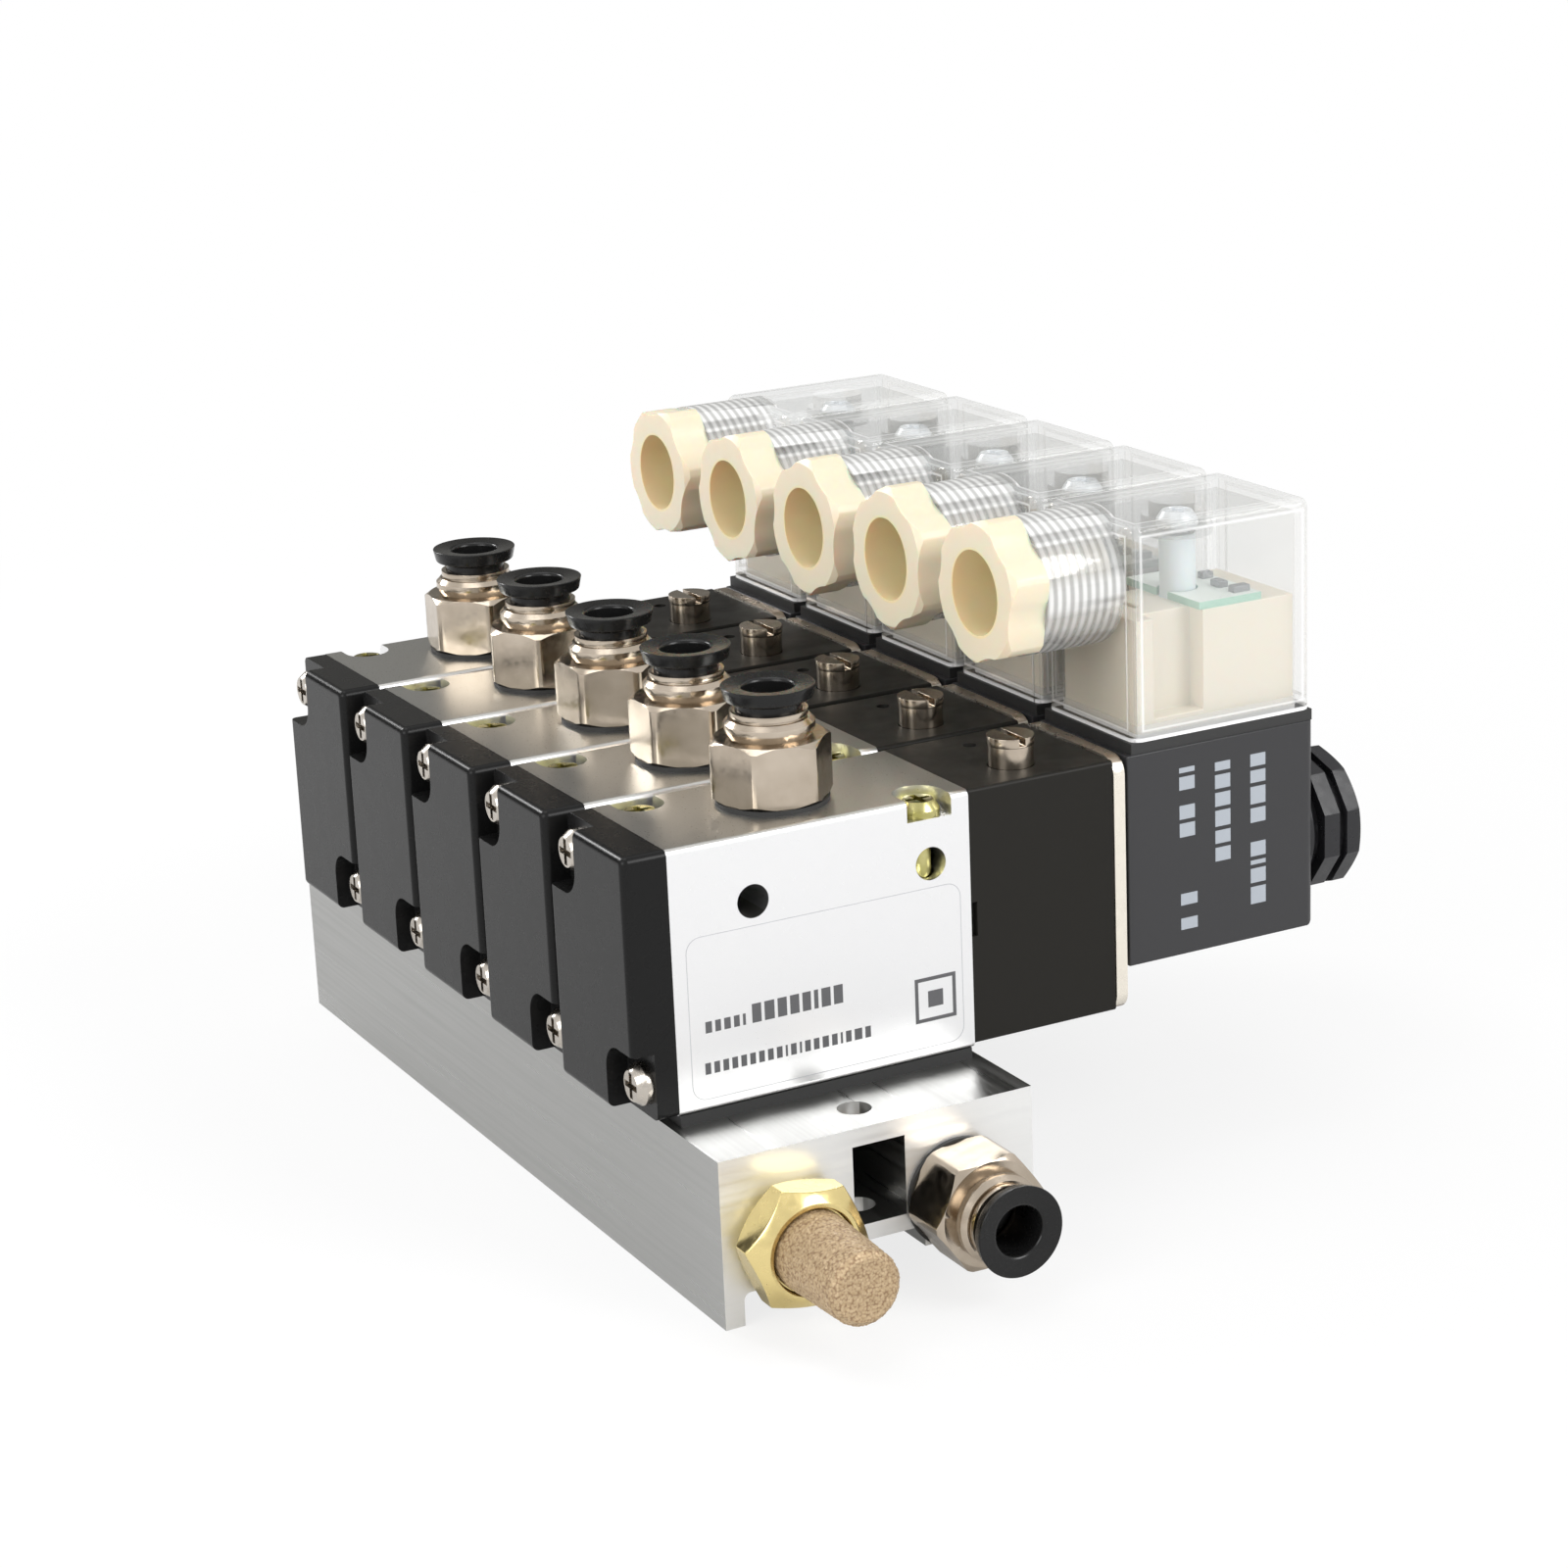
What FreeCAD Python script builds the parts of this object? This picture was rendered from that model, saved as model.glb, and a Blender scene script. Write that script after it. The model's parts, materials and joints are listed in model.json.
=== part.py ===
import FreeCAD, Part
import math
import os

# Valve island: five solenoid valves side by side on one drilled manifold rail.
# X runs from the end caps to the coils, Y along the rail, Z up. The origin is the middle of
# the rail's footprint, on the plane that its two legs stand on. All lengths are millimetres.

# The row of valves
valve_count = 5
valve_width = 22.0
valve_gap = 1.0

# Spring wire, shared by all the springs
wire_sides = 6
steps_per_turn = 12

# Manifold rail
rail_width = 44.4
rail_end_margin = 12.0
rail_height = 22.3
leg_width = 2.7
leg_height = 4.3
leg_root_radius = 1.0
recess_width = 12.4
recess_height = 7.1
channel_width = 7.4
channel_floor_wall = 2.2
channel_roof_wall = 2.4
rail_bolt_hole_radius = 2.2
rail_bolt_inset = 6.0
port_height = 10.6
exhaust_x = -12.8
supply_x = 11.1
gallery_radius = 4.2
gallery_end_wall = 14.0
passage_radius = 2.6

# Valve body
gasket_thickness = 1.5
gasket_inset = 0.3
body_length = 42.4
body_height = 34.65
body_edge_radius = 0.8
spool_bore_radius = 5.5
side_hole_radius = 2.18
side_hole_wall = 1.0
side_hole_left_inset = 11.45
fitting_x = -0.8

# Screws that hold each valve to the rail
rail_screw_end_inset = 5.7
rail_screw_inset = 2.8
rail_screw_radius = 1.45
rail_screw_clearance = 0.25
rail_screw_pocket_radius = 3.2
rail_screw_pocket_depth = 2.75
rail_screw_pocket_overrun = 1.0
rail_screw_grip = 5.3
thread_clearance = 0.05

# Pan heads, shared by all the small screws
head_radius = 2.75
head_height = 2.0
cross_width = 0.8
cross_span = 3.4
cross_depth = 1.2
head_rim_share = 0.45
head_crown_share = 0.72

# End cap
cap_thickness = 6.0
cap_flange = 3.0
cap_edge_radius = 1.0
cap_screw_inset_y = 3.2
cap_screw_inset_z = 4.25
cap_screw_radius = 1.2
cap_screw_end_wall = 0.4
cap_pocket_reach = 4.7
cap_pocket_corner = 3.5
spring_pocket_radius = 4.2
spring_pocket_depth = 2.5

# Spool with its pilot piston
spool_clearance = 0.05
spool_core_radius = 2.6
spool_travel = 3.5
spool_end_gap = 4.0
end_land_width = 1.6
land_width = 2.8
outer_land_inset = 0.8
left_land_overlap = 0.2
right_land_gap = 0.4
piston_radius = 7.0
piston_thickness = 2.0
piston_end_gap = 0.5
spool_spring_radius = 3.3
spool_spring_wire = 0.35
spool_spring_turns = 4

# Pilot block with its manual override
pilot_length = 21.6
pilot_rise = 0.5
pilot_edge_radius = 0.5
pilot_orifice_radius = 0.8
nose_bore_radius = 4.1
nose_bore_depth = 5.0
notch_depth = 1.0
notch_width = 0.9
notch_height = 4.6
override_x = 10.4
override_y = -4.3
override_stem_radius = 3.0
override_head_radius = 3.1
override_head_height = 1.2
override_stand = 4.0
override_depth = 4.6
override_clearance = 0.08
override_spring_space = 4.1
override_slot_width = 0.9
override_slot_depth = 1.0
override_groove_depth = 1.5
override_groove_height = 1.3
override_groove_cut = 0.65
override_spring_wire = 0.25
override_spring_turns = 4
dimple_y = 6.0
dimple_radius = 0.9
dimple_depth = 0.6

# Retainer plate, armature tube, coil and coil nut
plate_thickness = 1.7
plate_overhang_y = 0.2
plate_overhang_z = 0.3
plate_corner_radius = 2.5
tube_radius = 4.5
tube_wall = 0.6
tube_flange_radius = 7.0
tube_flange_thickness = 1.2
tube_clearance = 0.05
coil_gap = 0.7
coil_length = 29.5
coil_height = 28.7
coil_inset = 0.3
coil_boss_radius = 8.0
coil_edge_radius = 1.2
core_length = 7.0
armature_clearance = 0.06
armature_travel = 1.0
armature_stop_gap = 0.2
armature_nose_radius = 2.6
armature_nose_length = 3.0
armature_bore_radius = 2.2
armature_bore_depth = 8.0
armature_spring_wire = 0.25
armature_spring_turns = 7
stud_radius = 3.8
stud_length = 7.0
stud_tip_gap = 0.6
tube_end_stand = 0.4
nut_radius = 9.7
nut_sides = 10
nut_skirt_length = 1.6
nut_neck_length = 1.2
nut_neck_radius = 7.7
nut_ring_length = 2.5
nut_groove_length = 1.2
nut_groove_radius = 8.3
nut_face_length = 2.0
nut_chamfer = 1.1

# Plug-in connector on the coil
plug_gasket_thickness = 1.5
plug_gasket_stand = 0.4
plug_inset_x = 1.2
plug_inset_right_x = 0.3
plug_inset_y = 0.5
plug_height = 28.55
plug_wall = 1.6
plug_roof = 1.8
plug_edge_radius = 1.5
plug_top_radius = 1.3
plug_cup_radius = 3.7
plug_cup_wall = 1.0
plug_cup_depth = 3.5
plug_screw_radius = 1.5
plug_screw_clearance = 0.15
plug_screw_grip = 5.0
insert_clearance = 0.15
insert_height = 15.6
post_wall = 0.75
led_board_thickness = 1.0
led_board_behind_screw = 2.4
led_board_ahead_of_screw = 7.3
led_board_clearance = 0.3
blade_spacing = 8.0
blade_width = 4.8
blade_thickness = 0.8
blade_height = 8.0
blade_clearance = 0.1

# Cable gland of the connector
gland_drop = 8.0
gland_boss_radius = 9.1
gland_boss_length = 11.6
gland_thread_radius = 7.6
gland_sleeve_length = 7.3
gland_throat_radius = 5.6
shell_throat_radius = 5.0
gland_head_length = 5.4
gland_head_corner = 10.2
gland_head_radius = 9.8
gland_head_chamfer = 0.7
gland_scallop_radius = 8.0
gland_scallop_depth = 0.3
gland_turns = [-13.0, -2.0, -6.0, -15.0, -22.0]
grommet_length = 3.3
grommet_bore_radius = 3.6

# Push-in tube fitting
port_thread_radius = 5.7
port_thread_depth = 9.5
fitting_thread_length = 8.5
seal_washer_radius = 7.3
seal_washer_thickness = 0.6
fitting_flats = 14.0
fitting_hex_length = 8.0
fitting_hex_chamfer = 0.7
fitting_corner_radius = 7.85
fitting_turns = [47.0, 29.0, 33.0, 1.5, 21.5]
supply_fitting_turn = 6.0
fitting_shoulder_foot_radius = 5.3
fitting_shoulder_radius = 5.8
fitting_shoulder_length = 2.4
fitting_shoulder_flare = 0.9
fitting_shoulder_round = 0.6
fitting_groove_radius = 4.7
fitting_groove_length = 0.3
fitting_lip_radius = 4.95
fitting_lip_length = 0.7
collet_radius = 4.2
collet_clearance = 0.07
collet_bore_radius = 3.25
collet_flange_radius = 6.0
collet_flange_foot_radius = 5.6
collet_cone_length = 0.35
collet_band_length = 1.8
collet_dish_depth = 0.25
collet_bore_chamfer = 0.3
collet_neck = 1.05
collet_insertion = 4.6
collet_travel = 1.0
tube_socket_base = 1.0
tube_socket_radius = 3.1
tube_socket_length = 4.0
ring_seal_radius = 0.7
ring_seal_slack = 0.2
fitting_passage_radius = 2.2

# Silencer
silencer_flats = 15.0
silencer_hex_length = 6.5
silencer_front_radius = 6.3
silencer_cone_length = 2.0
silencer_turn = -8.0
silencer_seat_depth = 1.0
silencer_seat_clearance = 0.25
silencer_bore_radius = 3.4
element_base_radius = 5.4
element_tip_radius = 4.9
element_length = 14.0
element_round = 0.8
element_wall = 1.8

# Places worked out from the sizes above
valve_pitch = valve_width + valve_gap
valve_places = [(i - (valve_count - 1) / 2) * valve_pitch for i in range(valve_count)]
half_width = valve_width / 2
rail_length = valve_count * valve_pitch - valve_gap + 2 * rail_end_margin
rail_front_y = -rail_length / 2
body_left_x = -body_length / 2
body_right_x = body_length / 2
body_base_z = rail_height + gasket_thickness
body_top_z = body_base_z + body_height
axis_z = body_base_z + body_height / 2
side_hole_z = axis_z + spool_bore_radius + side_hole_wall + side_hole_radius
rail_screw_x = body_right_x - rail_screw_end_inset
rail_screw_y = half_width - rail_screw_inset
side_hole_left_x = body_left_x + side_hole_left_inset
rail_screw_hole_radius = rail_screw_radius + rail_screw_clearance
rail_screw_seat_z = body_top_z - rail_screw_pocket_depth
cap_screw_y = half_width - cap_screw_inset_y
cap_screw_rise = body_height / 2 - cap_screw_inset_z
cap_screw_grip = rail_screw_end_inset - rail_screw_hole_radius - cap_screw_end_wall
spool_left_x = body_left_x + spool_end_gap
piston_x = body_right_x + spool_travel + piston_end_gap
pilot_right_x = body_right_x + pilot_length
pilot_base_z = body_base_z + pilot_rise
override_place_x = body_right_x + override_x
override_bore_radius = override_stem_radius + override_clearance
plate_right_x = pilot_right_x + plate_thickness
coil_left_x = plate_right_x + coil_gap
coil_right_x = coil_left_x + coil_length
coil_base_z = body_top_z - coil_height
coil_half_width = half_width - coil_inset
flange_left_x = pilot_right_x - tube_flange_thickness
core_left_x = coil_right_x - core_length
tube_end_x = coil_right_x + tube_end_stand
stud_end_x = tube_end_x + stud_length
armature_radius = tube_radius - tube_wall - armature_clearance
armature_right_x = core_left_x - armature_travel - armature_stop_gap
plug_base_z = body_top_z + plug_gasket_thickness
plug_top_z = plug_base_z + plug_height
plug_left_x = coil_left_x + plug_inset_x
plug_right_x = coil_right_x - plug_inset_right_x
plug_x = (plug_left_x + plug_right_x) / 2
plug_half_width = half_width - plug_inset_y
cup_floor_z = plug_top_z - plug_cup_depth
cup_base_z = cup_floor_z - plug_cup_wall
plug_screw_hole_radius = plug_screw_radius + plug_screw_clearance
insert_top_z = plug_base_z + insert_height
gland_z = plug_top_z - gland_drop
gland_face_x = plug_left_x - gland_boss_length
gland_step_x = gland_face_x + gland_sleeve_length + grommet_length
fitting_lip_top = (seal_washer_thickness + fitting_hex_length + fitting_shoulder_length
                   + fitting_groove_length + fitting_lip_length)


def vector(x, y, z):
    return FreeCAD.Vector(x, y, z)


def block(x0, x1, y0, y1, z0, z1):
    return Part.makeBox(x1 - x0, y1 - y0, z1 - z0, vector(x0, y0, z0))


def rod_x(radius, x0, x1, y, z):
    return Part.makeCylinder(radius, x1 - x0, vector(x0, y, z), vector(1, 0, 0))


def rod_y(radius, y0, y1, x, z):
    return Part.makeCylinder(radius, y1 - y0, vector(x, y0, z), vector(0, 1, 0))


def rod_z(radius, z0, z1, x, y):
    return Part.makeCylinder(radius, z1 - z0, vector(x, y, z0), vector(0, 0, 1))


def turned(outline):
    """Solid of revolution about Z from a closed outline of (radius, height) points."""
    points = [vector(r, 0, z) for r, z in outline]
    face = Part.Face(Part.makePolygon(points + points[:1]))
    return face.revolve(vector(0, 0, 0), vector(0, 0, 1), 360)


def prism(sides, corner_radius, z0, z1, turn=0.0):
    """Regular prism about Z, with its first corner at the angle turn."""
    corners = []
    for i in range(sides + 1):
        angle = math.radians(turn) + 2 * math.pi * i / sides
        corners.append(vector(corner_radius * math.cos(angle), corner_radius * math.sin(angle), z0))
    return Part.Face(Part.makePolygon(corners)).extrude(vector(0, 0, z1 - z0))


def hex_block(flats, z0, z1, chamfer, turn=0.0):
    """Hexagon bar piece about Z with its corners turned down at both ends."""
    corner = flats / math.sqrt(3)
    inner = flats / 2
    drop = (corner - inner) * chamfer
    limit = turned([(0, z0), (inner, z0), (corner, z0 + drop), (corner, z1 - drop), (inner, z1), (0, z1)])
    return prism(6, corner, z0, z1, turn).common(limit)


def aimed(shape, axis, angle, place):
    """The shape turned about an axis through the origin, then moved to its place."""
    copy = shape.copy()
    copy.rotate(vector(0, 0, 0), axis, angle)
    copy.translate(place)
    return copy


def upright(shape, x, y, z):
    return aimed(shape, vector(0, 0, 1), 0, vector(x, y, z))


def towards_plus_x(shape, x, y, z):
    return aimed(shape, vector(0, 1, 0), 90, vector(x, y, z))


def towards_minus_x(shape, x, y, z):
    return aimed(shape, vector(0, 1, 0), -90, vector(x, y, z))


def towards_minus_y(shape, x, y, z):
    return aimed(shape, vector(1, 0, 0), 90, vector(x, y, z))


def edges_along(shape, direction):
    """Straight edges of a shape that run along one axis direction."""
    found = []
    for edge in shape.Edges:
        if isinstance(edge.Curve, Part.Line) and abs(edge.Curve.Direction.dot(direction)) > 0.999:
            found.append(edge)
    return found


def wire_section(radius, wire_radius, angle, height):
    """Corners of the spring wire's section at one angle round the spring."""
    corners = []
    for i in range(wire_sides):
        around = math.pi / 2 + 2 * math.pi * i / wire_sides
        reach = radius + wire_radius * math.cos(around)
        corners.append(vector(reach * math.cos(angle), reach * math.sin(angle),
                              height + wire_radius * math.sin(around)))
    return corners


def facet(corners):
    return Part.Face(Part.makePolygon(corners + corners[:1]))


def spring(radius, wire_radius, turns, length):
    """Compression spring about Z, between the planes 0 and length, in short flat facets."""
    steps = turns * steps_per_turn
    rise = length - 2 * wire_radius
    sections = []
    for i in range(steps + 1):
        angle = 2 * math.pi * i / steps_per_turn
        sections.append(wire_section(radius, wire_radius, angle, wire_radius + rise * i / steps))
    facets = [facet(sections[0]), facet(sections[-1])]
    for here, there in zip(sections, sections[1:]):
        for i in range(wire_sides):
            j = (i + 1) % wire_sides
            facets.append(facet([here[i], here[j], there[j]]))
            facets.append(facet([here[i], there[j], there[i]]))
    solid = Part.Solid(Part.Shell(facets))
    if solid.Volume < 0:
        solid.reverse()
    return solid


def pan_screw(shank_radius, shank_length):
    """Cross-recessed pan head screw about Z, with its seat at 0 and its shank below."""
    rim = head_height * head_rim_share
    shoulder = head_radius * head_crown_share
    head = turned([(0, 0), (head_radius, 0), (head_radius, rim), (shoulder, head_height), (0, head_height)])
    screw = head.fuse(rod_z(shank_radius, -shank_length, 0, 0, 0))
    floor = head_height - cross_depth
    half_span, half_slot = cross_span / 2, cross_width / 2
    screw = screw.cut(block(-half_span, half_span, -half_slot, half_slot, floor, head_height))
    return screw.cut(block(-half_slot, half_slot, -half_span, half_span, floor, head_height))


def rail_screw_places(y):
    """Plan positions of one valve's two rail screws, on opposite corners."""
    return [(rail_screw_x, y - rail_screw_y), (-rail_screw_x, y + rail_screw_y)]


def cap_screw_places(y):
    """Y and Z of one cap's two screws, on opposite corners."""
    return [(y + cap_screw_y, axis_z + cap_screw_rise), (y - cap_screw_y, axis_z - cap_screw_rise)]


def blade_places():
    return [plug_x - blade_spacing, plug_x + blade_spacing]


def manifold():
    half = rail_width / 2
    floor_z = recess_height + channel_floor_wall
    rail = block(-half, half, rail_front_y, -rail_front_y, 0, rail_height)
    inside = half - leg_width
    gap = block(-inside, inside, rail_front_y, -rail_front_y, -leg_root_radius, leg_height)
    roots = [edge for edge in edges_along(gap, vector(0, 1, 0)) if edge.CenterOfMass.z > 0]
    rail = rail.cut(gap.makeFillet(leg_root_radius, roots))
    rail = rail.cut(block(-recess_width / 2, recess_width / 2, rail_front_y, -rail_front_y,
                          leg_height / 2, recess_height))
    rail = rail.cut(block(-channel_width / 2, channel_width / 2, rail_front_y, -rail_front_y,
                          floor_z, rail_height - channel_roof_wall))
    for end in (-1, 1):
        bolt_y = end * (rail_length / 2 - rail_bolt_inset)
        rail = rail.cut(rod_z(rail_bolt_hole_radius, 0, rail_height, 0, bolt_y))
    thread_end_y = rail_front_y + port_thread_depth
    for x in (exhaust_x, supply_x):
        rail = rail.cut(rod_y(port_thread_radius, rail_front_y, thread_end_y, x, port_height))
        rail = rail.cut(rod_y(gallery_radius, rail_front_y, -rail_front_y - gallery_end_wall, x, port_height))
        for y in valve_places:
            rail = rail.cut(rod_z(passage_radius, port_height, rail_height, x, y))
    screw_hole_base = rail_height - rail_screw_grip - 2 * thread_clearance
    for y in valve_places:
        for x, screw_y in rail_screw_places(y):
            rail = rail.cut(rod_z(rail_screw_radius + thread_clearance, screw_hole_base, rail_height, x, screw_y))
    return rail


def valve_gasket(y):
    sheet = block(body_left_x + gasket_inset, body_right_x - gasket_inset, y - half_width + gasket_inset,
                  y + half_width - gasket_inset, rail_height, body_base_z)
    for x in (exhaust_x, supply_x):
        sheet = sheet.cut(rod_z(passage_radius, rail_height, body_base_z, x, y))
    for x, screw_y in rail_screw_places(y):
        sheet = sheet.cut(rod_z(rail_screw_hole_radius, rail_height, body_base_z, x, screw_y))
    return sheet


def screw_pocket(x, y, side):
    """Round-ended pocket that runs out through one side face of the valve body."""
    floor = rail_screw_seat_z
    reach = side * (rail_screw_inset + rail_screw_pocket_overrun)
    low, high = min(y, y + reach), max(y, y + reach)
    slot = block(x - rail_screw_pocket_radius, x + rail_screw_pocket_radius, low, high, floor, body_top_z)
    return slot.fuse(rod_z(rail_screw_pocket_radius, floor, body_top_z, x, y))


def valve_body(y):
    body = block(body_left_x, body_right_x, y - half_width, y + half_width, body_base_z, body_top_z)
    body = body.makeFillet(body_edge_radius, edges_along(body, vector(1, 0, 0)))
    body = body.cut(rod_x(spool_bore_radius, body_left_x, body_right_x, y, axis_z))
    body = body.cut(rod_z(port_thread_radius, body_top_z - port_thread_depth, body_top_z, fitting_x, y))
    body = body.cut(rod_z(gallery_radius, axis_z, body_top_z, fitting_x, y))
    for x in (exhaust_x, supply_x):
        body = body.cut(rod_z(passage_radius, body_base_z, axis_z, x, y))
    for x in (side_hole_left_x, rail_screw_x):
        body = body.cut(rod_y(side_hole_radius, y - half_width, y + half_width, x, side_hole_z))
    for side, (x, screw_y) in zip((-1, 1), rail_screw_places(y)):
        body = body.cut(rod_z(rail_screw_hole_radius, body_base_z, body_top_z, x, screw_y))
        body = body.cut(screw_pocket(x, screw_y, side))
    for screw_y, z in cap_screw_places(y):
        body = body.cut(rod_x(cap_screw_radius + thread_clearance, body_left_x,
                              body_left_x + cap_screw_grip, screw_y, z))
    return body


def cap_pocket(y, z, side):
    """Corner pocket of the end cap, with one rounded inner corner, seen along X."""
    left = body_left_x - cap_thickness
    floor = body_left_x - cap_flange
    y_in, y_out = y - side * cap_pocket_reach, y + side * half_width
    z_in, z_out = z - side * cap_pocket_reach, z + side * half_width
    pocket = block(left, floor, min(y_in, y_out), max(y_in, y_out), min(z_in, z_out), max(z_in, z_out))
    corner = []
    for edge in edges_along(pocket, vector(1, 0, 0)):
        middle = edge.CenterOfMass
        if abs(middle.y - y_in) < 0.01 and abs(middle.z - z_in) < 0.01:
            corner.append(edge)
    return pocket.makeFillet(cap_pocket_corner, corner)


def end_cap(y):
    left = body_left_x - cap_thickness
    cap = block(left, body_left_x, y - half_width, y + half_width, body_base_z, body_top_z)
    rounded = edges_along(cap, vector(1, 0, 0))
    for edge in cap.Edges:
        if abs(edge.CenterOfMass.x - left) < 0.01:
            rounded.append(edge)
    cap = cap.makeFillet(cap_edge_radius, rounded)
    for side, (screw_y, z) in zip((1, -1), cap_screw_places(y)):
        cap = cap.cut(cap_pocket(screw_y, z, side))
        cap = cap.cut(rod_x(cap_screw_radius + thread_clearance, left, body_left_x, screw_y, z))
    return cap.cut(rod_x(spring_pocket_radius, body_left_x - spring_pocket_depth, body_left_x, y, axis_z))


def cap_screws(y):
    screw = pan_screw(cap_screw_radius, cap_flange + cap_screw_grip - thread_clearance)
    return [towards_minus_x(screw, body_left_x - cap_flange, screw_y, z) for screw_y, z in cap_screw_places(y)]


def rail_screws(y):
    screw = pan_screw(rail_screw_radius, rail_screw_seat_z - rail_height + rail_screw_grip)
    return [upright(screw, x, screw_y, rail_screw_seat_z) for x, screw_y in rail_screw_places(y)]


def spool(y):
    land_radius = spool_bore_radius - spool_clearance
    outlet_land_x = fitting_x - gallery_radius + left_land_overlap
    supply_land_x = fitting_x + gallery_radius + right_land_gap
    outer_land_x = body_right_x - outer_land_inset
    lands = [(spool_left_x, spool_left_x + end_land_width),
             (outlet_land_x, outlet_land_x + land_width),
             (supply_land_x, supply_land_x + land_width),
             (outer_land_x - end_land_width, outer_land_x)]
    piston_right_x = piston_x + piston_thickness
    stem = rod_x(spool_core_radius, spool_left_x, piston_right_x, y, axis_z)
    for x0, x1 in lands:
        stem = stem.fuse(rod_x(land_radius, x0, x1, y, axis_z))
    return stem.fuse(rod_x(piston_radius - spool_clearance, piston_x, piston_right_x, y, axis_z))


def spool_spring(y):
    left = body_left_x - spring_pocket_depth
    coil_spring = spring(spool_spring_radius, spool_spring_wire, spool_spring_turns, spool_left_x - left)
    return towards_plus_x(coil_spring, left, y, axis_z)


def pilot_block(y):
    right = pilot_right_x
    body = block(body_right_x, right, y - half_width, y + half_width, pilot_base_z, body_top_z)
    body = body.makeFillet(pilot_edge_radius, edges_along(body, vector(1, 0, 0)))
    piston_bore_end = piston_x + piston_thickness + piston_end_gap
    body = body.cut(rod_x(piston_radius, body_right_x, piston_bore_end, y, axis_z))
    body = body.cut(rod_x(tube_flange_radius + tube_clearance, flange_left_x, right, y, axis_z))
    body = body.cut(rod_x(nose_bore_radius, flange_left_x - nose_bore_depth, flange_left_x, y, axis_z))
    body = body.cut(rod_x(pilot_orifice_radius, piston_bore_end, right, y, axis_z))
    hole_depth = override_depth + override_spring_space
    body = body.cut(rod_z(override_bore_radius, body_top_z - hole_depth, body_top_z,
                          override_place_x, y + override_y))
    body = body.cut(rod_z(dimple_radius, body_top_z - dimple_depth, body_top_z,
                          override_place_x, y + dimple_y))
    for side in (-1, 1):
        face_y = y + side * half_width
        inner_y = face_y - side * notch_depth
        body = body.cut(block(body_right_x, body_right_x + notch_width, min(face_y, inner_y),
                              max(face_y, inner_y), axis_z - notch_height / 2, axis_z + notch_height / 2))
    return body


def override_button(y):
    head_top = override_stand
    head_base = override_stand - override_head_height
    groove_top = -override_groove_depth
    groove_base = groove_top - override_groove_height
    groove_radius = override_stem_radius - override_groove_cut
    button = turned([(0, -override_depth), (override_stem_radius, -override_depth),
                     (override_stem_radius, groove_base), (groove_radius, groove_base),
                     (groove_radius, groove_top), (override_stem_radius, groove_top),
                     (override_stem_radius, head_base), (override_head_radius, head_base),
                     (override_head_radius, head_top), (0, head_top)])
    half_slot = override_slot_width / 2
    button = button.cut(block(-half_slot, half_slot, -override_head_radius, override_head_radius,
                              head_top - override_slot_depth, head_top))
    return upright(button, override_place_x, y + override_y, body_top_z)


def override_seal(y):
    inner = override_stem_radius - override_groove_cut + thread_clearance
    outer = override_stem_radius + override_clearance / 2
    top = -override_groove_depth - thread_clearance
    base = top - override_groove_height + 2 * thread_clearance
    ring = turned([(inner, base), (outer, base), (outer, top), (inner, top)])
    return upright(ring, override_place_x, y + override_y, body_top_z)


def override_spring(y):
    radius = override_stem_radius - 2 * override_spring_wire
    coil_spring = spring(radius, override_spring_wire, override_spring_turns, override_spring_space)
    base_z = body_top_z - override_depth - override_spring_space
    return upright(coil_spring, override_place_x, y + override_y, base_z)


def retainer_plate(y):
    reach = half_width + plate_overhang_y
    plate = block(pilot_right_x, plate_right_x, y - reach, y + reach,
                  pilot_base_z - plate_overhang_z, body_top_z + plate_overhang_z)
    plate = plate.makeFillet(plate_corner_radius, edges_along(plate, vector(1, 0, 0)))
    return plate.cut(rod_x(tube_radius + tube_clearance, pilot_right_x, plate_right_x, y, axis_z))


def armature_tube(y):
    inner = tube_radius - tube_wall
    outline = [(inner, flange_left_x), (tube_flange_radius, flange_left_x), (tube_flange_radius, pilot_right_x),
               (tube_radius, pilot_right_x), (tube_radius, tube_end_x), (stud_radius, tube_end_x),
               (stud_radius, stud_end_x), (0, stud_end_x), (0, core_left_x), (inner, core_left_x)]
    return towards_plus_x(turned(outline), 0, y, axis_z)


def armature(y):
    nose_end_x = flange_left_x - armature_nose_length
    hole_x = armature_right_x - armature_bore_depth
    outline = [(0, nose_end_x), (armature_nose_radius, nose_end_x), (armature_nose_radius, flange_left_x),
               (armature_radius, flange_left_x), (armature_radius, armature_right_x),
               (armature_bore_radius, armature_right_x), (armature_bore_radius, hole_x), (0, hole_x)]
    return towards_plus_x(turned(outline), 0, y, axis_z)


def armature_spring(y):
    hole_x = armature_right_x - armature_bore_depth
    radius = armature_bore_radius - 2 * armature_spring_wire
    coil_spring = spring(radius, armature_spring_wire, armature_spring_turns, core_left_x - hole_x)
    return towards_plus_x(coil_spring, hole_x, y, axis_z)


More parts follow.
